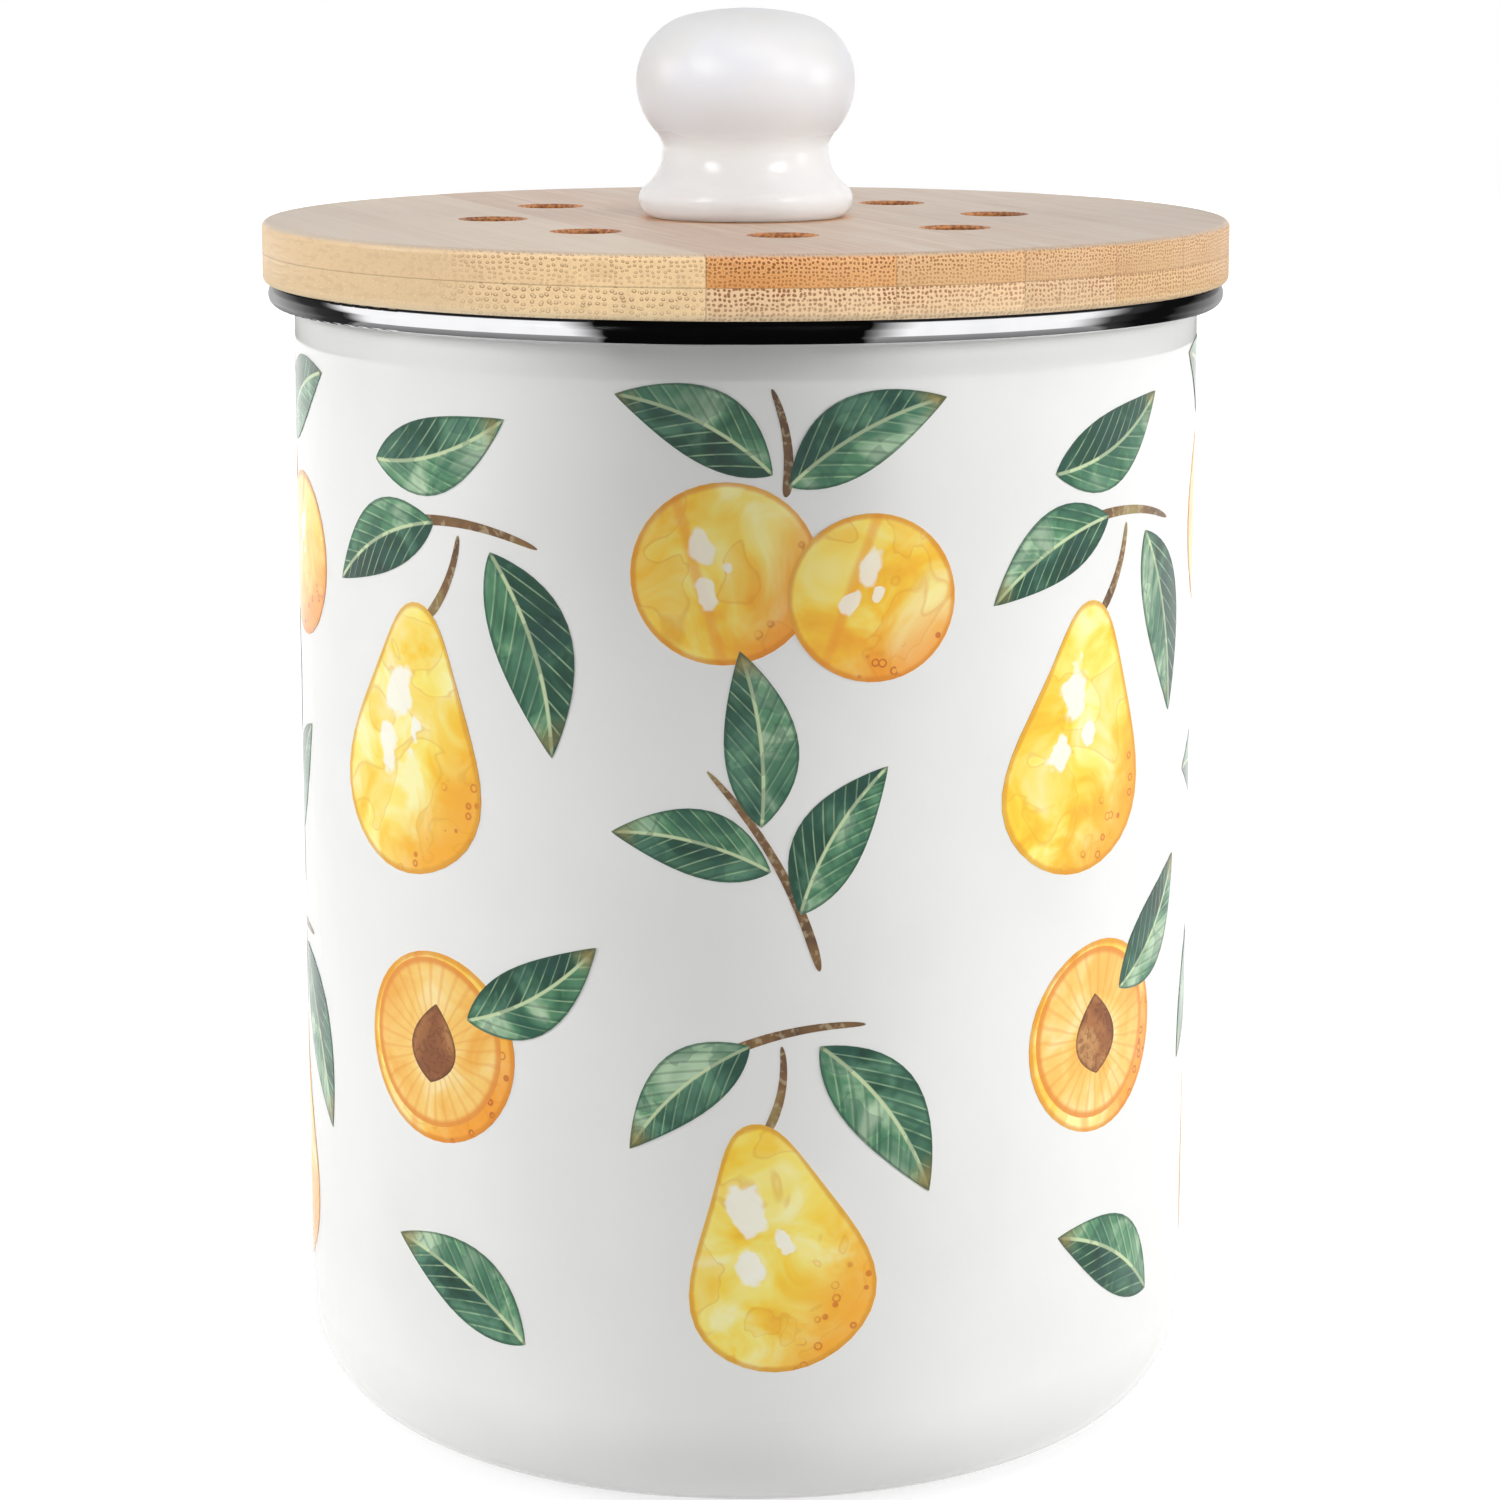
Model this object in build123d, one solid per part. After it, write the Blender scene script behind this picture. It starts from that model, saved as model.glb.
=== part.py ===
from build123d import *
import math
import os

# Lidded kitchen caddy: an enamelled steel canister with a rolled steel rim, and a
# bamboo lid with vent holes, a carbon filter beneath them and a porcelain knob.
# Millimetres, +Z up. The origin is the centre of the foot ring, on the worktop.

# Canister, drawn from one steel sheet. The wall is measured with its enamel.
shell_radius = 70.25
shell_wall = 1.0
shell_corner_radius = 17.5
canister_height = 180.0
foot_ring_width = 8.75
base_panel_lift = 2.0
base_panel_bend = 1.5

# Rim band, rolled over the lip of the canister
band_reach = 3.95
band_height = 3.6
band_sheet = 0.5
band_bend = 1.7
band_inner_start = 0.65
lip_gap = 0.05
lip_bend = 0.3
lip_root_bend = 0.5
lip_hem_length = 0.6

# Bamboo board of the lid, in two plies
lid_overhang = 0.8
ply_thickness = 4.7
lid_edge_round = 1.0
vent_count = 8
vent_diameter = 10.0
vent_first_angle = -82.0
vent_edge_break = 0.4
vent_inset = 5.6

# Plug ring under the lid, and the seal in its groove
plug_clearance = 2.5
plug_edge_break = 0.8
plug_rim_wall = 7.45
seal_groove_depth = 2.0
seal_groove_height = 3.2
seal_fit = 0.05
seal_lip_clearance = 0.3
seal_lip_thickness = 0.7
seal_lip_rise = 0.6

# Carbon filter and its cover
pad_thickness = 6.0
pad_side_clearance = 0.5
pad_hole_clearance = 1.5
cover_thickness = 1.2
cover_inset = 0.8
cover_land = 7.0
cover_clearance = 0.3
slot_width = 5.0
slot_pitch = 12.0
slot_ring_count = 2
slot_hub_radius = 10.0
slot_margin = 4.0

# Wood screws of the cover
cover_screw_count = 4
cover_screw_radius = 1.25
cover_screw_head_radius = 2.5
cover_screw_clearance = 0.05
cover_screw_tip_margin = 1.2
cover_screw_recess_width = 0.7
cover_screw_recess_length = 2.6
cover_screw_recess_depth = 0.8
pilot_margin = 0.2

# Knob. Its head and foot keep their heights, and its stem takes up the rest.
knob_height = 32.05
knob_foot_radius = 16.7
knob_foot_round = 2.7
knob_neck_radius = 12.92
knob_ball_radius = 16.95
knob_under_height = 10.5
knob_under_blend = 1.0
knob_crown_height = 11.15
knob_crown_rise = 0.75

# Screw, washer and threaded insert that hold the knob
screw_radius = 2.0
screw_head_radius = 4.0
screw_head_height = 2.6
screw_head_round = 0.9
screw_engagement = 5.8
screw_hole_clearance = 0.25
washer_radius = 4.5
washer_thickness = 0.8
insert_radius = 4.0
insert_spare_length = 4.2
insert_bore_clearance = 0.05
insert_bond_gap = 0.05
insert_bore_relief = 0.5
screw_recess_width = 1.1
screw_recess_length = 4.4
screw_recess_depth = 1.3

# How near an edge lies to a stated height and radius to count as that edge
match_tolerance = 1e-4

# Sizes and places that follow
base_panel_radius = shell_radius - shell_corner_radius - foot_ring_width
mouth_radius = shell_radius - shell_wall
band_radius = shell_radius + band_reach
lid_radius = band_radius + lid_overhang
lid_under = canister_height
glue_line = lid_under + ply_thickness
lid_top = glue_line + ply_thickness

plug_radius = mouth_radius - plug_clearance
plug_depth = pad_thickness + cover_thickness + cover_inset
plug_bottom = lid_under - plug_depth
seal_groove_radius = plug_radius - seal_groove_depth
seal_groove_bottom = lid_under - (plug_depth + seal_groove_height) / 2

rebate_radius = seal_groove_radius - plug_rim_wall
cover_radius = rebate_radius - cover_clearance
cover_top = lid_under - pad_thickness
cover_bottom = cover_top - cover_thickness
recess_radius = cover_radius - cover_land
pad_radius = recess_radius - pad_side_clearance
pad_hole_radius = washer_radius + pad_hole_clearance
vent_circle_radius = recess_radius - vent_inset - vent_diameter / 2

cover_screw_circle_radius = recess_radius + cover_land / 2
cover_screw_top = lid_under - cover_screw_tip_margin
pilot_radius = cover_screw_radius + cover_screw_clearance

knob_ball_height = knob_height - knob_crown_height
knob_neck_height = knob_ball_height - knob_under_height
knob_ball_under_round = knob_under_height + knob_under_blend
knob_ball_over_round = knob_crown_height - knob_crown_rise

screw_hole_radius = screw_radius + screw_hole_clearance
washer_bottom = lid_under - washer_thickness
screw_top = lid_top + screw_engagement
insert_length = screw_engagement + insert_spare_length


def turned(outline):
    """Turn a closed outline, drawn as radius and height, once round the Z axis."""
    return revolve(Plane.XZ * make_face(outline), Axis.Z)


def rolled_sheet(corners, bends, thickness, side):
    """Turn sheet of one thickness that follows rounded corners on its first face."""
    first_face = FilletPolyline(*corners, radius=bends)
    return turned(offset(first_face, thickness, side=side, closed=True).edges())


def ring(outer, inner, bottom, top):
    """A plain ring between two radii and two heights."""
    corners = [(inner, bottom), (outer, bottom), (outer, top), (inner, top)]
    return turned(Polyline(*corners, close=True).edges())


def rod(radius, bottom, top):
    """A plain round rod on the Z axis."""
    return Pos(0, 0, (bottom + top) / 2) * Cylinder(radius, top - bottom)


def edges_at(part, height, radius):
    """The round edges of a part at one height and of one radius."""
    found = []
    for edge in part.edges().filter_by(GeomType.CIRCLE):
        level = math.isclose(edge.arc_center.Z, height, abs_tol=match_tolerance)
        if level and math.isclose(edge.radius, radius, abs_tol=match_tolerance):
            found.append(edge)
    return found


def cross_recess(length, width, depth, bottom):
    """The cross cut up into a screw's head from the head's lowest face."""
    bar = Box(length, width, depth)
    cross = bar + Rot(0, 0, 90) * bar
    return Pos(0, 0, bottom + depth / 2) * cross


def canister_shell():
    """Outside face from the centre of the base out, up the wall and over the lip."""
    lip_under = canister_height - band_sheet - lip_gap - shell_wall
    lip_edge = band_radius - band_sheet - lip_gap - shell_wall
    corners = [
        (0, base_panel_lift),
        (base_panel_radius, base_panel_lift),
        (base_panel_radius + base_panel_lift, 0),
        (shell_radius, 0),
        (shell_radius, lip_under),
        (lip_edge, lip_under),
        (lip_edge, lip_under - lip_hem_length),
    ]
    bends = [base_panel_bend, base_panel_bend, shell_corner_radius, lip_root_bend, lip_bend]
    return rolled_sheet(corners, bends, shell_wall, Side.LEFT)


def rim_band():
    """Outside face over the top of the lip, round its edge and back beneath it."""
    band_bottom = canister_height - band_height
    corners = [
        (shell_radius + band_inner_start, canister_height),
        (band_radius, canister_height),
        (band_radius, band_bottom),
        (shell_radius + band_inner_start, band_bottom),
    ]
    return rolled_sheet(corners, [band_bend, band_bend], band_sheet, Side.RIGHT)


def lid_ply(bottom, rounded_height):
    """One ply of the board, with its outer edge rounded at the given height."""
    ply = rod(lid_radius, bottom, bottom + ply_thickness)
    ply = fillet(edges_at(ply, rounded_height, lid_radius), lid_edge_round)
    ply -= rod(screw_hole_radius, bottom, bottom + ply_thickness)
    vent = rod(vent_diameter / 2, bottom, bottom + ply_thickness)
    for index in range(vent_count):
        angle = vent_first_angle + index * 360 / vent_count
        ply -= Rot(0, 0, angle) * Pos(vent_circle_radius, 0, 0) * vent
    return ply


def lid_upper_ply():
    """The upper ply, its vent holes eased at the top."""
    ply = lid_ply(glue_line, lid_top)
    return chamfer(edges_at(ply, lid_top, vent_diameter / 2), vent_edge_break)


def lid_lower_ply():
    """The lower ply, which rests on the rim band."""
    return lid_ply(lid_under, lid_under)


def around_cover(piece):
    """Copies of a piece at each screw of the filter cover."""
    first_angle = 180 / cover_screw_count
    turn = 360 / cover_screw_count
    spots = [Rot(0, 0, first_angle + index * turn) for index in range(cover_screw_count)]
    return [spot * Pos(cover_screw_circle_radius, 0, 0) * piece for spot in spots]


def lid_plug():
    """Ring with the seal's groove outside, and the filter's recess and rebate inside."""
    groove_top = seal_groove_bottom + seal_groove_height
    corners = [
        (recess_radius, lid_under),
        (recess_radius, cover_top),
        (rebate_radius, cover_top),
        (rebate_radius, plug_bottom),
        (plug_radius, plug_bottom),
        (plug_radius, seal_groove_bottom),
        (seal_groove_radius, seal_groove_bottom),
        (seal_groove_radius, groove_top),
        (plug_radius, groove_top),
        (plug_radius, lid_under),
    ]
    plug = turned(Polyline(*corners, close=True).edges())
    plug = chamfer(edges_at(plug, plug_bottom, plug_radius), plug_edge_break)
    for pilot in around_cover(rod(pilot_radius, cover_top, cover_screw_top + pilot_margin)):
        plug -= pilot
    return plug


def seal_ring():
    """Ring with two thin lips that slope up and out towards the mouth."""
    back = seal_groove_radius + seal_fit
    bottom = seal_groove_bottom + seal_fit
    top = seal_groove_bottom + seal_groove_height - seal_fit
    tip = mouth_radius - seal_lip_clearance
    lip_step = top - bottom - seal_lip_rise - seal_lip_thickness
    corners = [(back, bottom)]
    for lip_bottom in (bottom, bottom + lip_step + seal_lip_rise):
        corners += [
            (plug_radius, lip_bottom),
            (tip, lip_bottom + seal_lip_rise),
            (tip, lip_bottom + seal_lip_rise + seal_lip_thickness / 2),
            (plug_radius, lip_bottom + seal_lip_thickness),
        ]
    corners += [(back, top)]
    return turned(Polyline(*corners, close=True).edges())


def filter_pad():
    """Round pad with a hole that clears the knob's screw."""
    return ring(pad_radius, pad_hole_radius, cover_top, lid_under)


def filter_cover():
    """Flat plate with rings of radial slots and countersunk holes at its edge."""
    cover = rod(cover_radius, cover_bottom, cover_top)
    ring_step = (pad_radius - slot_margin - slot_hub_radius) / slot_ring_count
    slot_length = ring_step - slot_margin
    for ring_index in range(slot_ring_count):
        slot_start = slot_hub_radius + slot_margin + ring_index * ring_step
        slot_middle = slot_start + slot_length / 2
        slot_count = int(2 * math.pi * slot_start / slot_pitch)
        slot = Pos(slot_middle, 0) * SlotOverall(slot_length, slot_width)
        slots = [Rot(0, 0, index * 360 / slot_count) * slot for index in range(slot_count)]
        cover -= extrude(Pos(0, 0, cover_bottom) * Sketch(children=slots), cover_thickness)
    sink = Pos(0, 0, (cover_bottom + cover_top) / 2) * Cone(
        cover_screw_head_radius + cover_screw_clearance, pilot_radius, cover_thickness
    )
    for countersink in around_cover(sink):
        cover -= countersink
    return cover


def filter_screws():
    """Countersunk screws, heads flush with the cover's lower face."""
    head = Pos(0, 0, (cover_bottom + cover_top) / 2) * Cone(
        cover_screw_head_radius, cover_screw_radius, cover_thickness
    )
    head -= cross_recess(
        cover_screw_recess_length,
        cover_screw_recess_width,
        cover_screw_recess_depth,
        cover_bottom,
    )
    screw = head + rod(cover_screw_radius, cover_top, cover_screw_top)
    return Compound(children=around_cover(screw))


def knob():
    """Turned profile of tangent arcs: foot, neck and flattened ball."""
    foot_centre = (knob_foot_radius - knob_foot_round, knob_foot_round)
    under_centre = (knob_ball_radius - knob_ball_under_round, knob_ball_height)
    over_centre = (knob_ball_radius - knob_ball_over_round, knob_ball_height)
    lower_cove = cove_radius(foot_centre, knob_foot_round)
    upper_cove = cove_radius(under_centre, knob_ball_under_round)
    lower_centre = (knob_neck_radius + lower_cove, knob_neck_height)
    upper_centre = (knob_neck_radius + upper_cove, knob_neck_height)
    cap = cap_radius(over_centre, knob_ball_over_round)
    cap_centre = (0, knob_height - cap)

    foot_to_cove = heading(foot_centre, lower_centre)
    ball_to_cove = heading(under_centre, upper_centre)
    cap_to_ball = heading(cap_centre, over_centre)
    arcs = [
        CenterArc(foot_centre, knob_foot_round, -90, 90 + foot_to_cove),
        CenterArc(lower_centre, lower_cove, 180, foot_to_cove),
        CenterArc(upper_centre, upper_cove, 180 + ball_to_cove, -ball_to_cove),
        CenterArc(under_centre, knob_ball_under_round, ball_to_cove, -ball_to_cove),
        CenterArc(over_centre, knob_ball_over_round, 0, cap_to_ball),
        CenterArc(cap_centre, cap, cap_to_ball, 90 - cap_to_ball),
    ]
    axis_line = Line((0, knob_height), (0, 0))
    foot_line = Line((0, 0), (foot_centre[0], 0))
    solid = Pos(0, 0, lid_top) * turned(arcs + [axis_line, foot_line])
    bore_top = lid_top + insert_length + insert_bore_relief
    return solid - rod(insert_radius + insert_bond_gap, lid_top, bore_top)


def heading(start, end):
    """Direction from one point to another, in degrees."""
    return math.degrees(math.atan2(end[1] - start[1], end[0] - start[0]))


def cove_radius(round_centre, round_radius):
    """Radius of the cove that meets the neck upright and is tangent to a round."""
    inward = round_centre[0] - knob_neck_radius
    rise = round_centre[1] - knob_neck_height
    return (inward**2 + rise**2 - round_radius**2) / (2 * (inward + round_radius))


def cap_radius(round_centre, round_radius):
    """Radius of the cap that is level on the axis and tangent inside to a round."""
    drop = knob_height - round_centre[1]
    return (round_centre[0] ** 2 + drop**2 - round_radius**2) / (2 * (drop - round_radius))


def knob_insert():
    """Threaded bush bonded into the knob, flush with the knob's foot."""
    bore = screw_radius + insert_bore_clearance
    return ring(insert_radius, bore, lid_top, lid_top + insert_length)


def knob_washer():
    """Plain washer against the underside of the board."""
    return ring(washer_radius, screw_hole_radius, washer_bottom, lid_under)


def knob_screw():
    """Pan head screw, up through the washer and the board into the insert."""
    head_bottom = washer_bottom - screw_head_height
    head = rod(screw_head_radius, head_bottom, washer_bottom)
    head = fillet(edges_at(head, head_bottom, screw_head_radius), screw_head_round)
    head -= cross_recess(
        screw_recess_length, screw_recess_width, screw_recess_depth, head_bottom
    )
    return head + rod(screw_radius, washer_bottom, screw_top)


pieces = [
    canister_shell,
    rim_band,
    lid_upper_ply,
    lid_lower_ply,
    lid_plug,
    seal_ring,
    filter_pad,
    filter_cover,
    filter_screws,
    knob,
    knob_insert,
    knob_washer,
    knob_screw,
]

os.makedirs("parts", exist_ok=True)
for piece in pieces:
    export_step(piece(), f"parts/{piece.__name__}.step")
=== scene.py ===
import bpy
import math
import random
import types
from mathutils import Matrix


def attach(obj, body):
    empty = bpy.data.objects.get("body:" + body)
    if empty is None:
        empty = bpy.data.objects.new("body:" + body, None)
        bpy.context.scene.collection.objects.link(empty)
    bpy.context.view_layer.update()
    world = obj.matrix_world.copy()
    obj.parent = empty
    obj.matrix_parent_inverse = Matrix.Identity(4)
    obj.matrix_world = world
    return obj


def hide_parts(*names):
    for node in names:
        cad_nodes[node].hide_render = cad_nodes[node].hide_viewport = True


# A kitchen caddy for food waste: an enamelled steel canister with a printed pattern
# and a rolled steel rim, under a vented bamboo lid with a porcelain knob.
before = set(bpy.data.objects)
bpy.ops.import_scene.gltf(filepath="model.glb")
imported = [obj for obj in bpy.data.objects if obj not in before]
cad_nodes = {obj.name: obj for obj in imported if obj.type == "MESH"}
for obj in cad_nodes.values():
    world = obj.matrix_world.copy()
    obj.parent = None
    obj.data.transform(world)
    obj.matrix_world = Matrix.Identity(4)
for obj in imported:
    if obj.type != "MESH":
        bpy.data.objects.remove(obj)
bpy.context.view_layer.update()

# Camera
# It stands where the photograph was taken from: a long lens a little above the lid,
# looking down on the middle of the caddy.
camera_place = (0.00067, -0.6658, 0.2360)
camera_tilt = 78.84
camera_lens = 102.0

camera = bpy.data.objects.new("camera", bpy.data.cameras.new("camera"))
camera.location = camera_place
camera.rotation_euler = (math.radians(camera_tilt), 0, 0)
camera.data.lens = camera_lens
camera.data.sensor_width = 36.0
camera.data.clip_start = 0.05
bpy.context.scene.collection.objects.link(camera)
bpy.context.scene.camera = camera
bpy.context.scene.view_settings.view_transform = "Standard"

# Studio
# A pale floor under a white surround, lit by two soft lights at the sides and one above.
# A small lamp lights the knob, and nets keep light off its sides and off the wall under
# the lid. Cards that only mirrors see make the rim's dark parts and the knob's sparks.
floor_radius = 3.0
floor_colour = (0.35, 0.35, 0.35, 1.0)
floor_bounce = (0.72, 0.72, 0.72, 1.0)
floor_glow_near = 0.78
floor_glow_far = 0.95
floor_blend = (0.25, 1.2)
surround_light = 0.415
left_light = {"azimuth": -91, "elevation": 16, "inner": 5, "outer": 15, "strength": 16.7}
right_light = {"azimuth": 85.5, "elevation": 11.5, "inner": 5, "outer": 15, "strength": 17.2}
top_light = {"azimuth": 26, "elevation": 60, "inner": 5, "outer": 15.5, "strength": 6.0}
knob_net_share = 0.42
knob_net_place = 0.13
knob_net_half_width = 0.07
knob_net_heights = (0.228, 0.31)
front_net_share = 0.02
front_net_azimuths = (-24, 17)
front_net_radii = (0.0762, 0.100)
front_net_height = 0.1780
knob_lamp_place = (0.0, -0.20, 0.25)
knob_lamp_tilt = 83
knob_lamp_spread = 45
knob_lamp_size = 0.06
knob_lamp_power = 0.0115
collar_azimuths = (-180, 180)
collar_rows = (
    (0.0708, 0.1712, 0.18), (0.0805, 0.1712, 0.38), (0.0805, 0.1722, 0.38),
    (0.0805, 0.1735, 2.0), (0.0805, 0.17999, 2.0), (0.0739, 0.17999, 2.0),
    (0.0736, 0.17999, 0.02), (0.0729, 0.17999, 0.02),
)
collar_lights = (
    (-180, 1.2), (-150, 1.2), (-135, 0.5), (-88, 0.5), (-74, 0.22), (-66, 0.04),
    (-58, 0.02), (-53, 1.2), (-21, 1.2), (-17, 0.003), (14.5, 0.003), (19.5, 1.2),
    (43, 1.2), (50, 0.05), (57, 0.006), (66, 0.006), (73, 0.1), (92, 0.42), (135, 0.5),
    (150, 1.2), (180, 1.2),
)
spark_azimuths = ((-58, -38), (38, 58))
spark_rows = ((1.0, 0.48, 9.0), (1.0, 0.98, 9.0))
spark_light = 28.0


def srgb(red, green, blue):
    """A colour given as it looks on a screen, from 0 to 255, as light."""
    def channel(value):
        """One of its three lights."""
        value = value / 255
        return value / 12.92 if value <= 0.04045 else ((value + 0.055) / 1.055) ** 2.4
    return (channel(red), channel(green), channel(blue), 1.0)


def feed(tree, socket, value):
    """Give a socket a number, a colour or another node's output."""
    if isinstance(value, bpy.types.NodeSocket):
        tree.links.new(value, socket)
    elif value is not None:
        socket.default_value = value


def node(tree, kind, inputs=None, **settings):
    """Add a node, make its settings and feed its inputs, named or numbered."""
    made = tree.nodes.new(kind)
    for name, value in settings.items():
        setattr(made, name, value)
    for name, value in (inputs or {}).items():
        feed(tree, made.inputs[name], value)
    return made


def sums(tree, operation, first, second=None, third=None):
    """One sum on numbers."""
    inputs = {0: first, 1: second, 2: third}
    return node(tree, "ShaderNodeMath", inputs, operation=operation).outputs[0]


def times(tree, first, second):
    """Two numbers multiplied."""
    return sums(tree, "MULTIPLY", first, second)


def split(tree, vector):
    """The three numbers of a vector."""
    return tuple(node(tree, "ShaderNodeSeparateXYZ", {0: vector}).outputs)


def mixed(tree, share, first, second):
    """Two colours mixed by a share."""
    inputs = {0: share, 6: first, 7: second}
    return node(tree, "ShaderNodeMix", inputs, data_type="RGBA").outputs[2]


def fading(tree, value, start, end, low=0.0, high=1.0):
    """A number that goes smoothly from low to high as value goes from start to end."""
    inputs = {0: value, 1: start, 2: end, 3: low, 4: high}
    return node(tree, "ShaderNodeMapRange", inputs, interpolation_type="SMOOTHSTEP").outputs[0]


def new_material(name):
    """An empty material and its tree."""
    material = bpy.data.materials.new(name)
    material.use_nodes = True
    material.node_tree.nodes.clear()
    return material, material.node_tree


def stage_mesh(name, points, faces, material):
    """A mesh of the studio, which isn't part of the caddy."""
    mesh = bpy.data.meshes.new(name)
    mesh.from_pydata(points, [], faces)
    mesh.materials.append(material)
    made = bpy.data.objects.new(name, mesh)
    bpy.context.scene.collection.objects.link(made)
    return made


def hidden_from(made, *rays):
    """Keep an object of the studio from some kinds of ray."""
    for ray in rays:
        setattr(made, "visible_" + ray, False)


def shown_to_eye(tree):
    """One for camera, glossy and transmitted rays, and nothing for the light on things."""
    path = tree.nodes.new("ShaderNodeLightPath")
    eye = sums(tree, "MAXIMUM", path.outputs["Is Camera Ray"], path.outputs["Is Glossy Ray"])
    return sums(tree, "MAXIMUM", eye, path.outputs["Is Transmission Ray"])


def soft_light(tree, direction, azimuth, elevation, inner, outer, strength):
    """A round soft patch of light in the surround. Azimuth 0 is behind the camera."""
    turn, rise = math.radians(azimuth), math.radians(elevation)
    flat = math.cos(rise)
    axis = (flat * math.sin(turn), -flat * math.cos(turn), math.sin(rise))
    near = node(tree, "ShaderNodeVectorMath", {0: direction, 1: axis}, operation="DOT_PRODUCT")
    start, end = math.cos(math.radians(outer)), math.cos(math.radians(inner))
    return fading(tree, near.outputs["Value"], start, end, 0.0, strength)


def white_surround():
    """The world: white where it is seen, and the studio's soft lights where it lights."""
    world = bpy.data.worlds.new("surround")
    bpy.context.scene.world = world
    world.use_nodes = True
    tree = world.node_tree
    direction = node(tree, "ShaderNodeTexCoord").outputs["Generated"]
    light = surround_light
    for patch in (left_light, right_light, top_light):
        light = sums(tree, "ADD", light, soft_light(tree, direction, **patch))
    inputs = {0: shown_to_eye(tree), 2: light, 3: 1.0}
    strength = node(tree, "ShaderNodeMix", inputs, data_type="FLOAT").outputs[0]
    feed(tree, tree.nodes["Background"].inputs["Color"], (1, 1, 1, 1))
    feed(tree, tree.nodes["Background"].inputs["Strength"], strength)


def pale_floor():
    """A round floor that fades into the surround where it is seen, and keeps the shadow."""
    material, tree = new_material("floor")
    place = node(tree, "ShaderNodeTexCoord").outputs["Object"]
    reach = node(tree, "ShaderNodeVectorMath", {0: place}, operation="LENGTH").outputs["Value"]
    glow_light = fading(tree, reach, *floor_blend, floor_glow_near, floor_glow_far)
    matt = node(tree, "ShaderNodeBsdfDiffuse", {"Color": floor_colour})
    glow = node(tree, "ShaderNodeEmission", {"Color": (1, 1, 1, 1), "Strength": glow_light})
    both = node(tree, "ShaderNodeAddShader", {0: matt.outputs[0], 1: glow.outputs[0]})
    bright = node(tree, "ShaderNodeBsdfDiffuse", {"Color": floor_bounce})
    inputs = {0: shown_to_eye(tree), 1: bright.outputs[0], 2: both.outputs[0]}
    seen = node(tree, "ShaderNodeMixShader", inputs)
    node(tree, "ShaderNodeOutputMaterial", {"Surface": seen.outputs[0]})
    sides = 96
    points = []
    for step in range(sides):
        angle = 2 * math.pi * step / sides
        points.append((floor_radius * math.cos(angle), floor_radius * math.sin(angle), 0))
    stage_mesh("floor", points, [list(range(sides))], material)


def ramp(tree, value, stops, steps=False):
    """Colours along a value, mixed between their stops or in steps."""
    made = node(tree, "ShaderNodeValToRGB", {0: value})
    made.color_ramp.interpolation = "CONSTANT" if steps else "LINEAR"
    elements = made.color_ramp.elements
    while len(elements) > 1:
        elements.remove(elements[-1])
    elements[0].position, elements[0].color = stops[0]
    for position, colour in stops[1:]:
        elements.new(position).color = colour
    return made.outputs[0]


def mirror_card(name, azimuths, rows, lights):
    """A card that only mirrors on its inner side see. Each row is a radius, a height and
    the most light there; lights are the light at some azimuths, 0 towards the camera."""
    first, last = azimuths
    material, tree = new_material(name)
    along, most, _ = split(tree, node(tree, "ShaderNodeUVMap", uv_map="along").outputs[0])
    brightest = max(light for azimuth, light in lights)
    stops = []
    for azimuth, light in lights:
        grey = light / brightest
        stops.append(((azimuth - first) / (last - first), (grey, grey, grey, 1)))
    shown = times(tree, ramp(tree, along, stops), brightest)
    glow = node(tree, "ShaderNodeEmission", {"Strength": sums(tree, "MINIMUM", shown, most)})
    clear = node(tree, "ShaderNodeBsdfTransparent")
    outside = tree.nodes.new("ShaderNodeNewGeometry").outputs["Backfacing"]
    seen = node(tree, "ShaderNodeMixShader", {0: outside, 1: glow.outputs[0], 2: clear.outputs[0]})
    node(tree, "ShaderNodeOutputMaterial", {"Surface": seen.outputs[0]})
    steps = 240
    count = len(rows)
    points = []
    corners = []
    for step in range(steps + 1):
        angle = math.radians(first + (last - first) * step / steps)
        for radius, height, most_light in rows:
            points.append((radius * math.sin(angle), -radius * math.cos(angle), height))
            corners.append((step / steps, most_light))
    faces = []
    for step in range(steps):
        for row in range(count - 1):
            corner = step * count + row
            faces.append((corner, corner + 1, corner + count + 1, corner + count))
    card = stage_mesh(name, points, faces, material)
    layer = card.data.uv_layers.new(name="along")
    for loop, corner in zip(card.data.loops, layer.data):
        corner.uv = corners[loop.vertex_index]
    hidden_from(card, "camera", "diffuse", "shadow", "transmission", "volume_scatter")


def net(points, faces, share, share_from_behind):
    """A net that the camera and mirrors don't see. It lets a share of the light through, and
    another share of the light that meets its faces from behind. Rays run towards the light,
    so a ray that meets a face from behind brings the light of its front."""
    material, tree = new_material("net")
    from_front = (share, share, share, 1.0)
    from_behind = (share_from_behind, share_from_behind, share_from_behind, 1.0)
    behind = tree.nodes.new("ShaderNodeNewGeometry").outputs["Backfacing"]
    colour = mixed(tree, behind, from_behind, from_front)
    clear = node(tree, "ShaderNodeBsdfTransparent", {"Color": colour})
    node(tree, "ShaderNodeOutputMaterial", {"Surface": clear.outputs[0]})
    made = stage_mesh("net", points, faces, material)
    hidden_from(made, "camera", "glossy", "transmission")


def knob_net(side):
    """A net beside the lid that takes some of the side light off the knob."""
    low, high = knob_net_heights
    place = side * knob_net_place
    points = [
        (place, -knob_net_half_width, low), (place, knob_net_half_width, low),
        (place, knob_net_half_width, high), (place, -knob_net_half_width, high),
    ]
    net(points, [(0, 1, 2, 3)], knob_net_share, knob_net_share)


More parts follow.
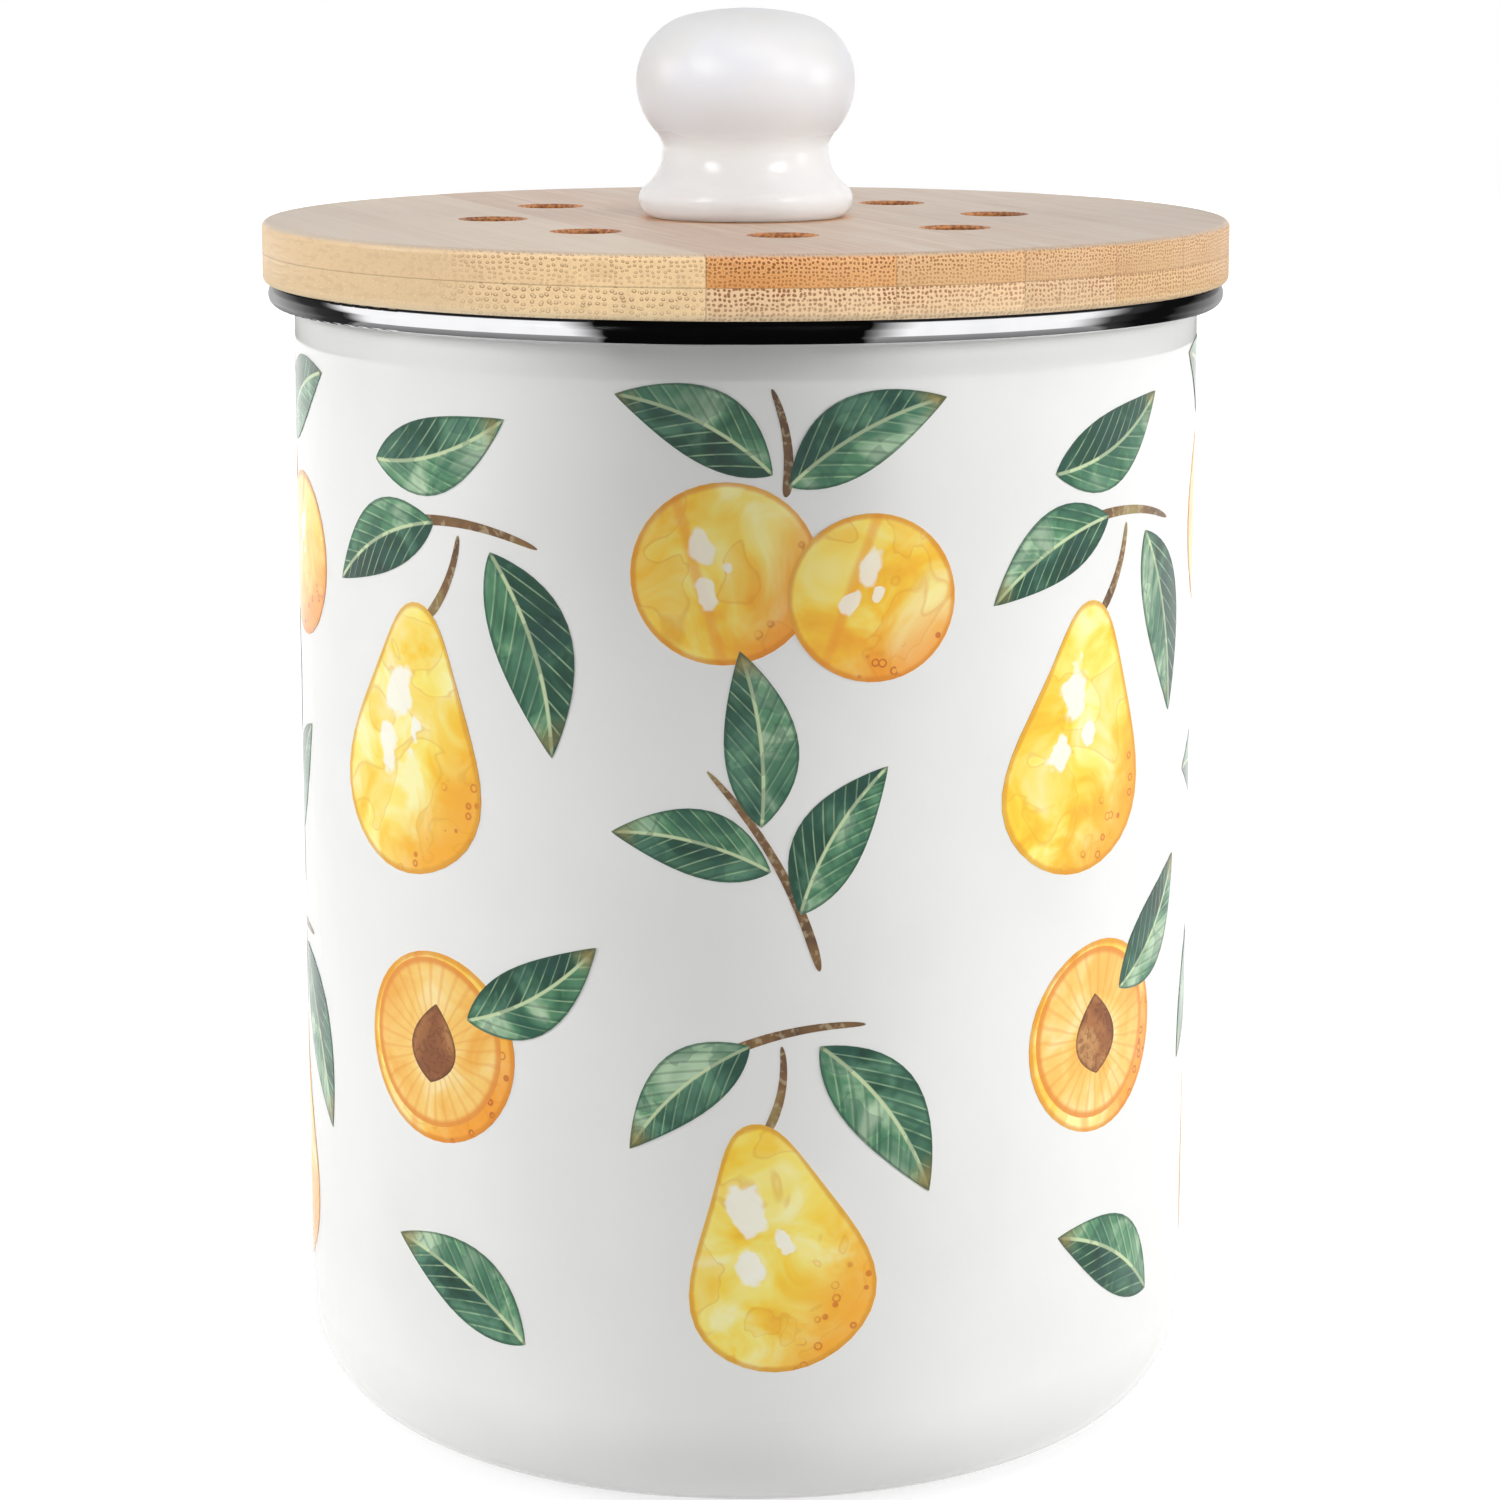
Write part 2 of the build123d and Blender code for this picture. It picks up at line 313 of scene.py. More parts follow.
def front_net():
    """A net under the lid's front edge that deepens the lid's shadow on the enamel. Light
    from below passes it and reaches the lid's edge."""
    first, last = front_net_azimuths
    steps = 24
    points = []
    for step in range(steps + 1):
        angle = math.radians(first + (last - first) * step / steps)
        for radius in front_net_radii:
            points.append((radius * math.sin(angle), -radius * math.cos(angle), front_net_height))
    faces = [(2 * step, 2 * step + 1, 2 * step + 3, 2 * step + 2) for step in range(steps)]
    net(points, faces, front_net_share, 1.0)


def knob_lamp():
    """A small soft lamp in front of the knob, narrow enough to miss the canister."""
    lamp = bpy.data.lights.new("knob_lamp", "AREA")
    lamp.shape = "DISK"
    lamp.size = knob_lamp_size
    lamp.energy = knob_lamp_power
    lamp.spread = math.radians(knob_lamp_spread)
    placed = bpy.data.objects.new("knob_lamp", lamp)
    placed.location = knob_lamp_place
    placed.rotation_euler = (math.radians(knob_lamp_tilt), 0, 0)
    hidden_from(placed, "camera", "glossy")
    bpy.context.scene.collection.objects.link(placed)


white_surround()
pale_floor()
knob_net(-1)
knob_net(1)
front_net()
knob_lamp()
mirror_card("rim_collar", collar_azimuths, collar_rows, collar_lights)
for side, azimuths in zip(("left", "right"), spark_azimuths):
    lights = [(azimuth, spark_light) for azimuth in azimuths]
    mirror_card(side + "_spark", azimuths, spark_rows, lights)

# Canister shell
# Deep drawn from 1 mm steel and dipped in white vitreous enamel, which is fired to a hard
# gloss. It has the faint ripple of a fired glaze and a few specks, and its foot is worn.
enamel_colour = srgb(238, 238, 237)
enamel_shade = srgb(232, 232, 230)
enamel_speck = srgb(120, 116, 110)
worn_foot = srgb(176, 174, 170)
worn_heights = (0.0002, 0.0009)
glaze_clouds = 60
glaze_ripple = 210
glaze_relief = 0.00004


def principled(tree, **inputs):
    """A shader with its inputs set by name, and the material's output."""
    shader = node(tree, "ShaderNodeBsdfPrincipled")
    for name, value in inputs.items():
        feed(tree, shader.inputs[name.replace("_", " ")], value)
    node(tree, "ShaderNodeOutputMaterial", {"Surface": shader.outputs[0]})
    return shader


def stretched(tree, vector, stretch):
    """A vector with each of its numbers multiplied by its own."""
    inputs = {0: vector, 1: stretch}
    return node(tree, "ShaderNodeVectorMath", inputs, operation="MULTIPLY").outputs[0]


def object_place(tree, turn=0.0, stretch=(1, 1, 1)):
    """Places on the object in metres, turned about its axis and stretched."""
    place = node(tree, "ShaderNodeTexCoord").outputs["Object"]
    turned = node(tree, "ShaderNodeMapping", {0: place, 2: (0, 0, turn)}).outputs[0]
    return stretched(tree, turned, stretch)


def noise(tree, place, scale, detail=2.0, roughness=0.5, distortion=0.0):
    """Cloudy noise from 0 to 1."""
    inputs = {"Vector": place, "Scale": scale, "Detail": detail}
    inputs.update({"Roughness": roughness, "Distortion": distortion})
    return node(tree, "ShaderNodeTexNoise", inputs).outputs[0]


def cells(tree, place, scale, randomness=1.0):
    """Scattered points: the node gives the distance to the nearest one and its place."""
    inputs = {"Vector": place, "Scale": scale, "Randomness": randomness}
    return node(tree, "ShaderNodeTexVoronoi", inputs)


def bump(tree, height, distance, strength=1.0, below=None):
    """A relief of that depth in metres."""
    inputs = {"Height": height, "Distance": distance, "Strength": strength, "Normal": below}
    return node(tree, "ShaderNodeBump", inputs).outputs[0]


def dress(piece_name, material):
    """Give a CAD piece its finish."""
    for slot in cad_nodes[piece_name].material_slots:
        slot.material = material


def enamel():
    """White enamel with soft clouds, a fired ripple, rare specks and a worn foot."""
    material, tree = new_material("enamel")
    place = object_place(tree)
    height = split(tree, place)[2]
    clouds = noise(tree, place, 22, 3)
    ripple = noise(tree, place, glaze_ripple, 1)
    grit = noise(tree, place, 1500, 2)
    colour = mixed(tree, fading(tree, clouds, 0.35, 0.7), enamel_colour, enamel_shade)
    speck = cells(tree, place, 95)
    rare = sums(tree, "GREATER_THAN", speck.outputs["Color"], 0.86)
    dot = times(tree, fading(tree, speck.outputs["Distance"], 0.010, 0.020, 0.6, 0), rare)
    colour = mixed(tree, dot, colour, enamel_speck)
    wear = times(tree, fading(tree, height, *worn_heights, 1, 0), fading(tree, grit, 0.35, 0.6))
    colour = mixed(tree, wear, colour, worn_foot)
    shine = fading(tree, noise(tree, place, glaze_clouds, 4), 0.3, 0.75, 0.09, 0.17)
    shine = sums(tree, "ADD", shine, times(tree, wear, 0.35))
    relief = sums(tree, "ADD", ripple, times(tree, grit, 0.05))
    principled(tree, Base_Color=colour, Roughness=shine, Normal=bump(tree, relief, glaze_relief, 0.6))
    return material


dress("canister_shell", enamel())

# Fired print
# Ceramic transfers fired on to the enamel in rings: pears, apricots and leaf sprigs in a
# watercolour manner. Each painted shape is a thin film that follows the round wall.
can_radius = 0.07025
film_height = 0.00004
film_step = 0.00002
film_depth = 0.00005
film_rings = (0.17, 0.34, 0.5, 0.65, 0.79, 0.9, 0.96, 1.0)
film_spokes = 44
copies_round = 4
leaf_half_width = 0.2
twig_half_width = 0.00065
lean_change = 7
size_change = 0.05
fruit_lights = ((0.42, 0.66, 0.075), (0.38, 0.44, 0.055), (0.52, 0.52, 0.03))


def round_outline(along):
    """How wide a round fruit is, from -1 at its foot to 1 at its top."""
    return math.sqrt(1 - along ** 2)


def pear_outline(along):
    """How wide a pear is: full below and narrow at its neck."""
    narrowing = 0.86 - 0.55 * along + 0.04 * along ** 2 + 0.26 * along ** 3
    return math.sqrt(1 - along ** 2) * narrowing


def leaf_outline(along):
    """How wide a leaf is: pointed at both ends and fullest below its middle."""
    return (1 - along ** 2) ** 0.9 * (1.02 - 0.28 * along)


def twig_outline(along):
    """How wide a twig is: blunt, and thinner towards its tip."""
    return math.sqrt(1 - along ** 8) * (1 - 0.3 * along)


def film_shape(outline, length, half_width, bend, place, lean, layer):
    """One painted shape laid flat, x to the right and y up, as a closed film: its points,
    its faces, its own flat places, each point's distance from the outline, and how many
    faces its painted side has."""
    own = [(0.0, 0.0)]
    for ring in film_rings:
        for spoke in range(film_spokes):
            angle = 2 * math.pi * spoke / film_spokes
            along = ring * math.sin(angle)
            side = ring * math.cos(angle) / math.sqrt(max(1 - along ** 2, 1e-9))
            wide = half_width * outline(max(-1.0, min(1.0, along)))
            own.append((wide * side, 0.5 * length * along))
    rim = own[-film_spokes:]
    gaps = [min(math.dist(point, other) for other in rim) for point in own]
    count = len(own)
    points = []
    cosine, sine = math.cos(math.radians(lean)), math.sin(math.radians(lean))
    for top in (film_height + layer * film_step, -film_depth):
        for x, y in own:
            bent = x + bend * (1 - (2 * y / length) ** 2)
            flat = (place[0] + bent * cosine - y * sine, place[1] + bent * sine + y * cosine)
            points.append((*flat, top))
    faces = []
    for spoke in range(film_spokes):
        following = (spoke + 1) % film_spokes
        faces.append((0, 1 + spoke, 1 + following))
        for ring in range(len(film_rings) - 1):
            start = 1 + ring * film_spokes
            inner = (start + spoke, start + following)
            outer = (inner[0] + film_spokes, inner[1] + film_spokes)
            faces.append((inner[0], outer[0], outer[1], inner[1]))
    under = [tuple(index + count for index in reversed(face)) for face in faces]
    last = 1 + (len(film_rings) - 1) * film_spokes
    skirt = []
    for spoke in range(film_spokes):
        first, second = last + spoke, last + (spoke + 1) % film_spokes
        skirt.append((first, first + count, second + count, second))
    own = [(x / length + 0.5, y / length + 0.5) for x, y in own]
    return points, faces + under + skirt, own * 2, gaps * 2, len(faces)


def film_mesh(name, shapes):
    """The shapes of one paint in a motif as one flat mesh."""
    mesh = bpy.data.meshes.new(name)
    points, faces, own, gaps, smooth = [], [], [], [], []
    for shape in shapes:
        new_points, new_faces, new_own, new_gaps, top_faces = film_shape(*shape)
        start = len(points)
        points += new_points
        own += new_own
        gaps += new_gaps
        smooth += [index < 2 * top_faces for index in range(len(new_faces))]
        faces += [tuple(index + start for index in face) for face in new_faces]
    mesh.from_pydata(points, [], faces)
    layer = mesh.uv_layers.new(name="own")
    for loop, corner in zip(mesh.loops, layer.data):
        corner.uv = own[loop.vertex_index]
    inset = mesh.attributes.new("inset", "FLOAT", "POINT")
    inset.data.foreach_set("value", gaps)
    mesh.polygons.foreach_set("use_smooth", smooth)
    for edge in mesh.edges:
        low, high = min(edge.vertices), max(edge.vertices)
        edge.use_edge_sharp = max(gaps[low], gaps[high]) < 1e-9
    return mesh


def ring_tree():
    """Copies of a flat motif set in a ring, each a little different, and wrapped round the
    can: the tree and the identifiers of its inputs."""
    tree = bpy.data.node_groups.new("print_ring", "GeometryNodeTree")
    sockets = {}
    sizes = [
        ("Copies", "NodeSocketInt"), ("First turn", "NodeSocketFloat"),
        ("Height", "NodeSocketFloat"), ("Lean", "NodeSocketFloat"),
        ("Lean change", "NodeSocketFloat"), ("Size change", "NodeSocketFloat"),
        ("Can radius", "NodeSocketFloat"), ("Seed", "NodeSocketInt"),
        ("Paint", "NodeSocketMaterial"),
    ]
    tree.interface.new_socket("Motif", in_out="INPUT", socket_type="NodeSocketGeometry")
    for name, kind in sizes:
        socket = tree.interface.new_socket(name, in_out="INPUT", socket_type=kind)
        sockets[name] = socket.identifier
    tree.interface.new_socket("Print", in_out="OUTPUT", socket_type="NodeSocketGeometry")
    given = tree.nodes.new("NodeGroupInput").outputs
    around = times(tree, given["Can radius"], 2 * math.pi)
    step = sums(tree, "DIVIDE", around, given["Copies"])
    start = times(tree, given["First turn"], given["Can radius"])
    first = node(tree, "ShaderNodeCombineXYZ", {0: start, 1: given["Height"]}).outputs[0]
    offset = node(tree, "ShaderNodeCombineXYZ", {0: step}).outputs[0]
    line = node(tree, "GeometryNodeMeshLine", {"Count": given["Copies"]})
    feed(tree, line.inputs["Start Location"], first)
    feed(tree, line.inputs["Offset"], offset)
    leaning, growing = chance(tree, given["Seed"], 1), chance(tree, given["Seed"], 2)
    leans = sums(tree, "MULTIPLY_ADD", leaning, given["Lean change"], given["Lean"])
    grown = sums(tree, "MULTIPLY_ADD", growing, given["Size change"], 1.0)
    turns = node(tree, "ShaderNodeCombineXYZ", {2: leans}).outputs[0]
    inputs = {"Points": line.outputs[0], "Instance": given["Motif"]}
    inputs.update({"Rotation": turns, "Scale": grown})
    copies = node(tree, "GeometryNodeInstanceOnPoints", inputs).outputs[0]
    inputs = {"Geometry": copies, "Name": "shade", "Value": chance(tree, given["Seed"], 3)}
    stored = node(tree, "GeometryNodeStoreNamedAttribute", inputs, domain="INSTANCE").outputs[0]
    real = node(tree, "GeometryNodeRealizeInstances", {0: stored}).outputs[0]
    right, up, out = split(tree, node(tree, "GeometryNodeInputPosition").outputs[0])
    angle = sums(tree, "DIVIDE", right, given["Can radius"])
    radius = sums(tree, "ADD", given["Can radius"], out)
    side = times(tree, radius, sums(tree, "SINE", angle))
    front = times(tree, radius, sums(tree, "COSINE", angle))
    wrapped = node(tree, "ShaderNodeCombineXYZ", {0: side, 1: times(tree, front, -1.0), 2: up})
    wrapped = wrapped.outputs[0]
    placed = node(tree, "GeometryNodeSetPosition", {"Geometry": real, "Position": wrapped}).outputs[0]
    inputs = {"Geometry": placed, "Material": given["Paint"]}
    painted = node(tree, "GeometryNodeSetMaterial", inputs).outputs[0]
    output = tree.nodes.new("NodeGroupOutput")
    feed(tree, output.inputs[0], painted)
    return tree, sockets


def chance(tree, seed, salt):
    """A random number from -1 to 1 for each copy."""
    own_seed = sums(tree, "ADD", seed, salt * 17.0)
    inputs = {2: -1.0, 3: 1.0, "Seed": own_seed}
    return node(tree, "FunctionNodeRandomValue", inputs, data_type="FLOAT").outputs[1]


def print_ring(name, motif, first_turn, height, lean, seed):
    """One ring of a motif: each paint's shapes are wrapped by the tree and then joined. The
    turn and the lean are in degrees."""
    parts = []
    for paint, shapes in motif.items():
        flat = bpy.data.objects.new(name, film_mesh(name, shapes))
        bpy.context.scene.collection.objects.link(flat)
        ring = flat.modifiers.new("ring", "NODES")
        ring.node_group = print_tree
        sizes = {
            "Copies": copies_round, "First turn": math.radians(first_turn), "Height": height,
            "Lean": math.radians(lean), "Lean change": math.radians(lean_change),
            "Size change": size_change, "Can radius": can_radius, "Seed": seed,
            "Paint": paints[paint],
        }
        for label, value in sizes.items():
            ring[print_sockets[label]] = value
        evaluated = flat.evaluated_get(bpy.context.evaluated_depsgraph_get())
        mesh = bpy.data.meshes.new_from_object(evaluated)
        bpy.data.objects.remove(flat)
        parts.append(bpy.data.objects.new(name, mesh))
        bpy.context.scene.collection.objects.link(parts[-1])
    with bpy.context.temp_override(active_object=parts[0], selected_editable_objects=parts):
        bpy.ops.object.join()
    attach(parts[0], "canister")


def apart(tree, first, second):
    """How far two numbers are apart."""
    return sums(tree, "ABSOLUTE", sums(tree, "SUBTRACT", first, second))


def hypotenuse(tree, first, second):
    """The distance made by two distances at right angles."""
    first, second = sums(tree, "POWER", first, 2.0), sums(tree, "POWER", second, 2.0)
    return sums(tree, "SQRT", sums(tree, "ADD", first, second))


def tones(*rows):
    """The stops of a ramp from rows of a position, red, green and blue."""
    return [(position, srgb(*colour)) for position, *colour in rows]


pear_washes = tones(
    (0.32, 255, 247, 178), (0.46, 255, 235, 116), (0.58, 255, 216, 64), (0.72, 250, 192, 44))
apricot_washes = tones(
    (0.36, 255, 243, 164), (0.5, 255, 228, 108), (0.62, 255, 206, 60), (0.76, 250, 178, 42))
leaf_dark = tones((0.3, 10, 50, 40), (0.48, 28, 78, 58), (0.68, 96, 146, 116))
leaf_light = tones((0.32, 40, 96, 68), (0.5, 92, 146, 108), (0.66, 184, 212, 178))
leaf_vein = srgb(176, 208, 164)
leaf_fold = srgb(34, 74, 58)
leaf_rib = srgb(206, 222, 176)
leaf_wash = srgb(36, 84, 76)
leaf_tip = srgb(142, 128, 74)
leaf_edge = srgb(40, 78, 58)
twig_browns = tones((0.35, 96, 70, 48), (0.55, 134, 100, 62), (0.7, 160, 146, 92))
twig_bare = srgb(196, 178, 140)
stone_browns = tones((0.35, 140, 84, 46), (0.5, 172, 112, 64), (0.68, 206, 156, 100))
stone_wrinkle = srgb(104, 58, 32)
stone_edge = srgb(96, 52, 28)
flesh_yellows = tones((0.35, 252, 226, 158), (0.52, 250, 206, 112), (0.7, 244, 178, 76))
flesh_ray = srgb(236, 150, 62)
flesh_skin = srgb(232, 142, 52)


def watercolour(name):
    """What every paint starts from: its material, tree and places on the can, and what it
    reads from the shape: places across and along it, soft clouds of pigment, the copy's own
    shade and how far in from the outline."""
    material, tree = new_material(name)
    place = object_place(tree)
    across, along, _ = split(tree, node(tree, "ShaderNodeUVMap", uv_map="own").outputs[0])
    shape = types.SimpleNamespace(
        across=across,
        along=along,
        clouds=noise(tree, place, 95, 3, 0.55, 0.8),
        shade=node(tree, "ShaderNodeAttribute", attribute_name="shade").outputs["Fac"],
        inset=node(tree, "ShaderNodeAttribute", attribute_name="inset").outputs["Fac"],
    )
    return material, tree, place, shape


def wash_edges(tree, place, scale):
    """The thin dark rims where one wash of paint dried over another, and the wash itself."""
    level = noise(tree, place, scale, 2, 0.5, 1.2)
    rim = fading(tree, apart(tree, level, 0.52), 0.0, 0.014, 1, 0)
    return rim, sums(tree, "GREATER_THAN", level, 0.52)


def pooled_edge(tree, shape, waver, width, strength):
    """The darker line round a shape, where its paint pooled as it dried."""
    inset = sums(tree, "MULTIPLY_ADD", shape.clouds, -waver, shape.inset)
    return fading(tree, inset, 0.0, width, strength, 0)


def fired(tree, place, colour, film):
    """The gloss of the print: colour under the same fired glaze as the enamel."""
    shine = fading(tree, noise(tree, place, glaze_clouds, 4), 0.3, 0.75, 0.11, 0.19)
    relief = sums(tree, "MULTIPLY_ADD", film, 0.25, noise(tree, place, glaze_ripple, 1))
    relief = bump(tree, relief, glaze_relief, 0.6)
    shader = principled(tree, Base_Color=colour, Roughness=shine, Normal=relief)
    shader.inputs["Specular IOR Level"].default_value = 0.32


def fruit_paint(name, washes, blush, speckle, edge, paper, has_cleft):
    """Yellow washes with an orange blush on one side, speckles and bare paper lights."""
    material, tree, place, shape = watercolour(name)
    colour = ramp(tree, sums(tree, "MULTIPLY_ADD", shape.shade, 0.05, shape.clouds), washes)
    side = sums(tree, "MULTIPLY_ADD", shape.along, -0.75, shape.across)
    side = sums(tree, "MULTIPLY_ADD", shape.clouds, 0.55, side)
    warm = fading(tree, side, 0.48, 0.94)
    colour = mixed(tree, times(tree, warm, 0.8), colour, blush)
    rim, wet = wash_edges(tree, place, 62)
    colour = mixed(tree, times(tree, wet, 0.16), colour, blush)
    colour = mixed(tree, times(tree, rim, 0.28), colour, edge)
    seeds = cells(tree, place, 480)
    ring = fading(tree, apart(tree, seeds.outputs["Distance"], 0.26), 0.03, 0.09, 0.7, 0)
    kept = sums(tree, "GREATER_THAN", seeds.outputs["Color"], 0.35)
    ring = times(tree, times(tree, ring, kept), fading(tree, warm, 0.45, 0.95))
    colour = mixed(tree, ring, colour, speckle)
    if has_cleft:
        cleft = sums(tree, "MULTIPLY_ADD", shape.clouds, 0.05, 0.33)
        fold = fading(tree, apart(tree, shape.across, cleft), 0.008, 0.05, 0.5, 0)
        colour = mixed(tree, fold, colour, blush)
    ragged = times(tree, sums(tree, "SUBTRACT", noise(tree, place, 260, 2), 0.5), 0.12)
    for light_across, light_along, reach in fruit_lights:
        right = sums(tree, "SUBTRACT", shape.across, light_across)
        up = times(tree, sums(tree, "SUBTRACT", shape.along, light_along), 0.6)
        away = sums(tree, "ADD", ragged, hypotenuse(tree, right, up))
        colour = mixed(tree, fading(tree, away, reach * 0.75, reach, 0.85, 0), colour, paper)
    pooled = pooled_edge(tree, shape, 0.0008, 0.0007, 0.7)
    fired(tree, place, mixed(tree, pooled, colour, edge), pooled)
    return material


def leaf_paint():
    """Two greens, one for each half of the blade, with a pale midrib and side veins."""
    material, tree, place, shape = watercolour("leaf_paint")
    drift = sums(tree, "MULTIPLY_ADD", shape.shade, 0.06, shape.clouds)
    from_rib = sums(tree, "SUBTRACT", shape.across, 0.5)
    half = fading(tree, from_rib, -0.006, 0.006)
    colour = mixed(tree, half, ramp(tree, drift, leaf_dark), ramp(tree, drift, leaf_light))
    from_rib = sums(tree, "ABSOLUTE", from_rib)
    wave = sums(tree, "MULTIPLY_ADD", from_rib, -1.5, shape.along)
    wave = sums(tree, "FRACT", times(tree, wave, 9.0))
    fade = fading(tree, noise(tree, place, 300, 1), 0.3, 0.6, 0.15, 0.6)
    vein = times(tree, fading(tree, apart(tree, wave, 0.5), 0.02, 0.10, 1, 0), fade)
    colour = mixed(tree, vein, colour, leaf_vein)
    shadow = fading(tree, apart(tree, wave, 0.72), 0.05, 0.2, 0.35, 0)
    colour = mixed(tree, shadow, colour, leaf_fold)
    rib = fading(tree, from_rib, 0.006, 0.014, 0.9, 0)
    colour = mixed(tree, rib, colour, leaf_rib)
    wet = wash_edges(tree, place, 120)[1]
    colour = mixed(tree, times(tree, wet, 0.34), colour, leaf_wash)
    tip = times(tree, fading(tree, shape.along, 0.8, 0.98), fading(tree, shape.clouds, 0.4, 0.6))
    colour = mixed(tree, tip, colour, leaf_tip)
    pooled = pooled_edge(tree, shape, 0.0005, 0.0004, 0.6)
    fired(tree, place, mixed(tree, pooled, colour, leaf_edge), pooled)
    return material


def twig_paint():
    """Brown dry brush for twigs and stems."""
    material, tree, place, shape = watercolour("twig_paint")
    dry = fading(tree, noise(tree, place, 900, 2), 0.5, 0.65, 0, 0.5)
    colour = mixed(tree, dry, ramp(tree, shape.clouds, twig_browns), twig_bare)
    fired(tree, place, colour, fading(tree, shape.inset, 0.0, 0.0003, 1, 0))
    return material


def stone_paint():
    """The brown stone of a cut apricot, wrinkled and darker at its edge."""
    material, tree, place, shape = watercolour("stone_paint")
    wrinkle = fading(tree, noise(tree, place, 620, 3, 0.6, 1.5), 0.42, 0.5, 0.45, 0)
    colour = mixed(tree, wrinkle, ramp(tree, shape.clouds, stone_browns), stone_wrinkle)
    pooled = fading(tree, shape.inset, 0.0, 0.0007, 0.7, 0)
    fired(tree, place, mixed(tree, pooled, colour, stone_edge), pooled)
    return material


def flesh_paint():
    """The cut face of an apricot, pale in the middle with fine rays to the skin."""
    material, tree, place, shape = watercolour("flesh_paint")
    right = sums(tree, "SUBTRACT", shape.across, 0.5)
    up = sums(tree, "SUBTRACT", shape.along, 0.46)
    angle = times(tree, sums(tree, "ARCTAN2", up, right), 30.0)
    rays = sums(tree, "SINE", sums(tree, "MULTIPLY_ADD", shape.clouds, 5.0, angle))
    rays = fading(tree, rays, 0.3, 1.0, 0, 0.35)
    colour = mixed(tree, rays, ramp(tree, shape.clouds, flesh_yellows), flesh_ray)
    skin = fading(tree, shape.inset, 0.0005, 0.0014, 0.85, 0)
    fired(tree, place, mixed(tree, skin, colour, flesh_skin), skin)
    return material


paints = {
    "pear": fruit_paint(
        "pear_paint", pear_washes, blush=srgb(248, 168, 50), speckle=srgb(206, 96, 30),
        edge=srgb(222, 152, 44), paper=srgb(253, 252, 244), has_cleft=False),
    "apricot": fruit_paint(
        "apricot_paint", apricot_washes, blush=srgb(246, 150, 42), speckle=srgb(190, 76, 30),
        edge=srgb(224, 136, 36), paper=srgb(254, 248, 234), has_cleft=True),
    "leaf": leaf_paint(),
    "twig": twig_paint(),
    "flesh": flesh_paint(),
    "stone": stone_paint(),
}
print_tree, print_sockets = ring_tree()


def leaf(place, lean, length, bend, layer=1):
    """A leaf's row for film_shape."""
    return (leaf_outline, length, length * leaf_half_width, bend, place, lean, layer)


def twig(place, lean, length, bend=0.0012):
    """A twig's row for film_shape."""
    return (twig_outline, length, twig_half_width, bend, place, lean, 0)


hanging_pear = {
    "twig": [twig((0.0005, 0.0190), -14, 0.014), twig((0.0035, 0.0262), -82, 0.024, -0.0016)],
    "pear": [(pear_outline, 0.040, 0.0150, 0.0008, (-0.0015, -0.006), 5, 1)],
    "leaf": [
        leaf((-0.0125, 0.0185), 128, 0.025, 0.0020, 2),
        leaf((0.0160, 0.0125), -148, 0.030, -0.0024, 2),
    ],
}
two_apricots = {
    "twig": [twig((-0.0010, 0.0150), 6, 0.016)],
    "apricot": [
        (round_outline, 0.0270, 0.0140, 0.0, (-0.0095, -0.0040), 14, 1),
        (round_outline, 0.0250, 0.0130, 0.0, (0.0125, -0.0085), -22, 2),
    ],
    "leaf": [
        leaf((-0.0135, 0.0165), 62, 0.026, 0.0022, 3),
        leaf((0.0125, 0.0145), -64, 0.027, -0.0020, 3),
    ],
}
cut_apricot = {
    "apricot": [(round_outline, 0.0295, 0.0150, 0.0, (0.0, 0.0), 8, 0)],
    "flesh": [(round_outline, 0.0262, 0.0131, 0.0, (-0.0006, 0.0006), 8, 1)],
    "stone": [(leaf_outline, 0.0125, 0.0045, 0.0, (-0.0006, 0.0004), 4, 2)],
    "leaf": [leaf((0.0150, 0.0150), -48, 0.026, 0.0020, 3)],
}
leaf_sprig = {
    "twig": [twig((0.0, -0.0005), 4, 0.034, 0.0022)],
    "leaf": [
        leaf((0.0065, 0.0180), -18, 0.026, 0.0014),
        leaf((-0.0085, 0.0065), 52, 0.024, 0.0018),
        leaf((0.0125, -0.0015), -56, 0.025, -0.0018),
    ],
}
single_leaf = {
    "leaf": [leaf((0.0, 0.0), 0, 0.027, 0.0022)],
}
print_rings = [
    ("low_leaves", single_leaf, 52, 0.0330, 62, 5),
    ("low_pears", hanging_pear, 4, 0.0500, 3, 12),
    ("cut_apricots", cut_apricot, 49, 0.0700, -6, 21),
    ("leaf_sprigs", leaf_sprig, 2, 0.1010, 24, 34),
    ("high_pears", hanging_pear, 47, 0.1220, -12, 43),
    ("apricot_pairs", two_apricots, 5, 0.1480, 4, 55),
    ("high_leaves", single_leaf, 50, 0.1610, -74, 61),
]
for ring_name, motif, first_turn, height, lean, seed in print_rings:
    print_ring("print_" + ring_name, motif, first_turn, height, lean, seed)

# Rim band
# A strip of stainless steel rolled over the mouth's lip and mirror polished. Polishing
# leaves hair lines that run round it.
polished_colour = (0.78, 0.78, 0.79, 1.0)
polished_shade = (0.74, 0.74, 0.755, 1.0)
bead_centre = 0.0725
bead_heights = (0.1781, 0.1783)


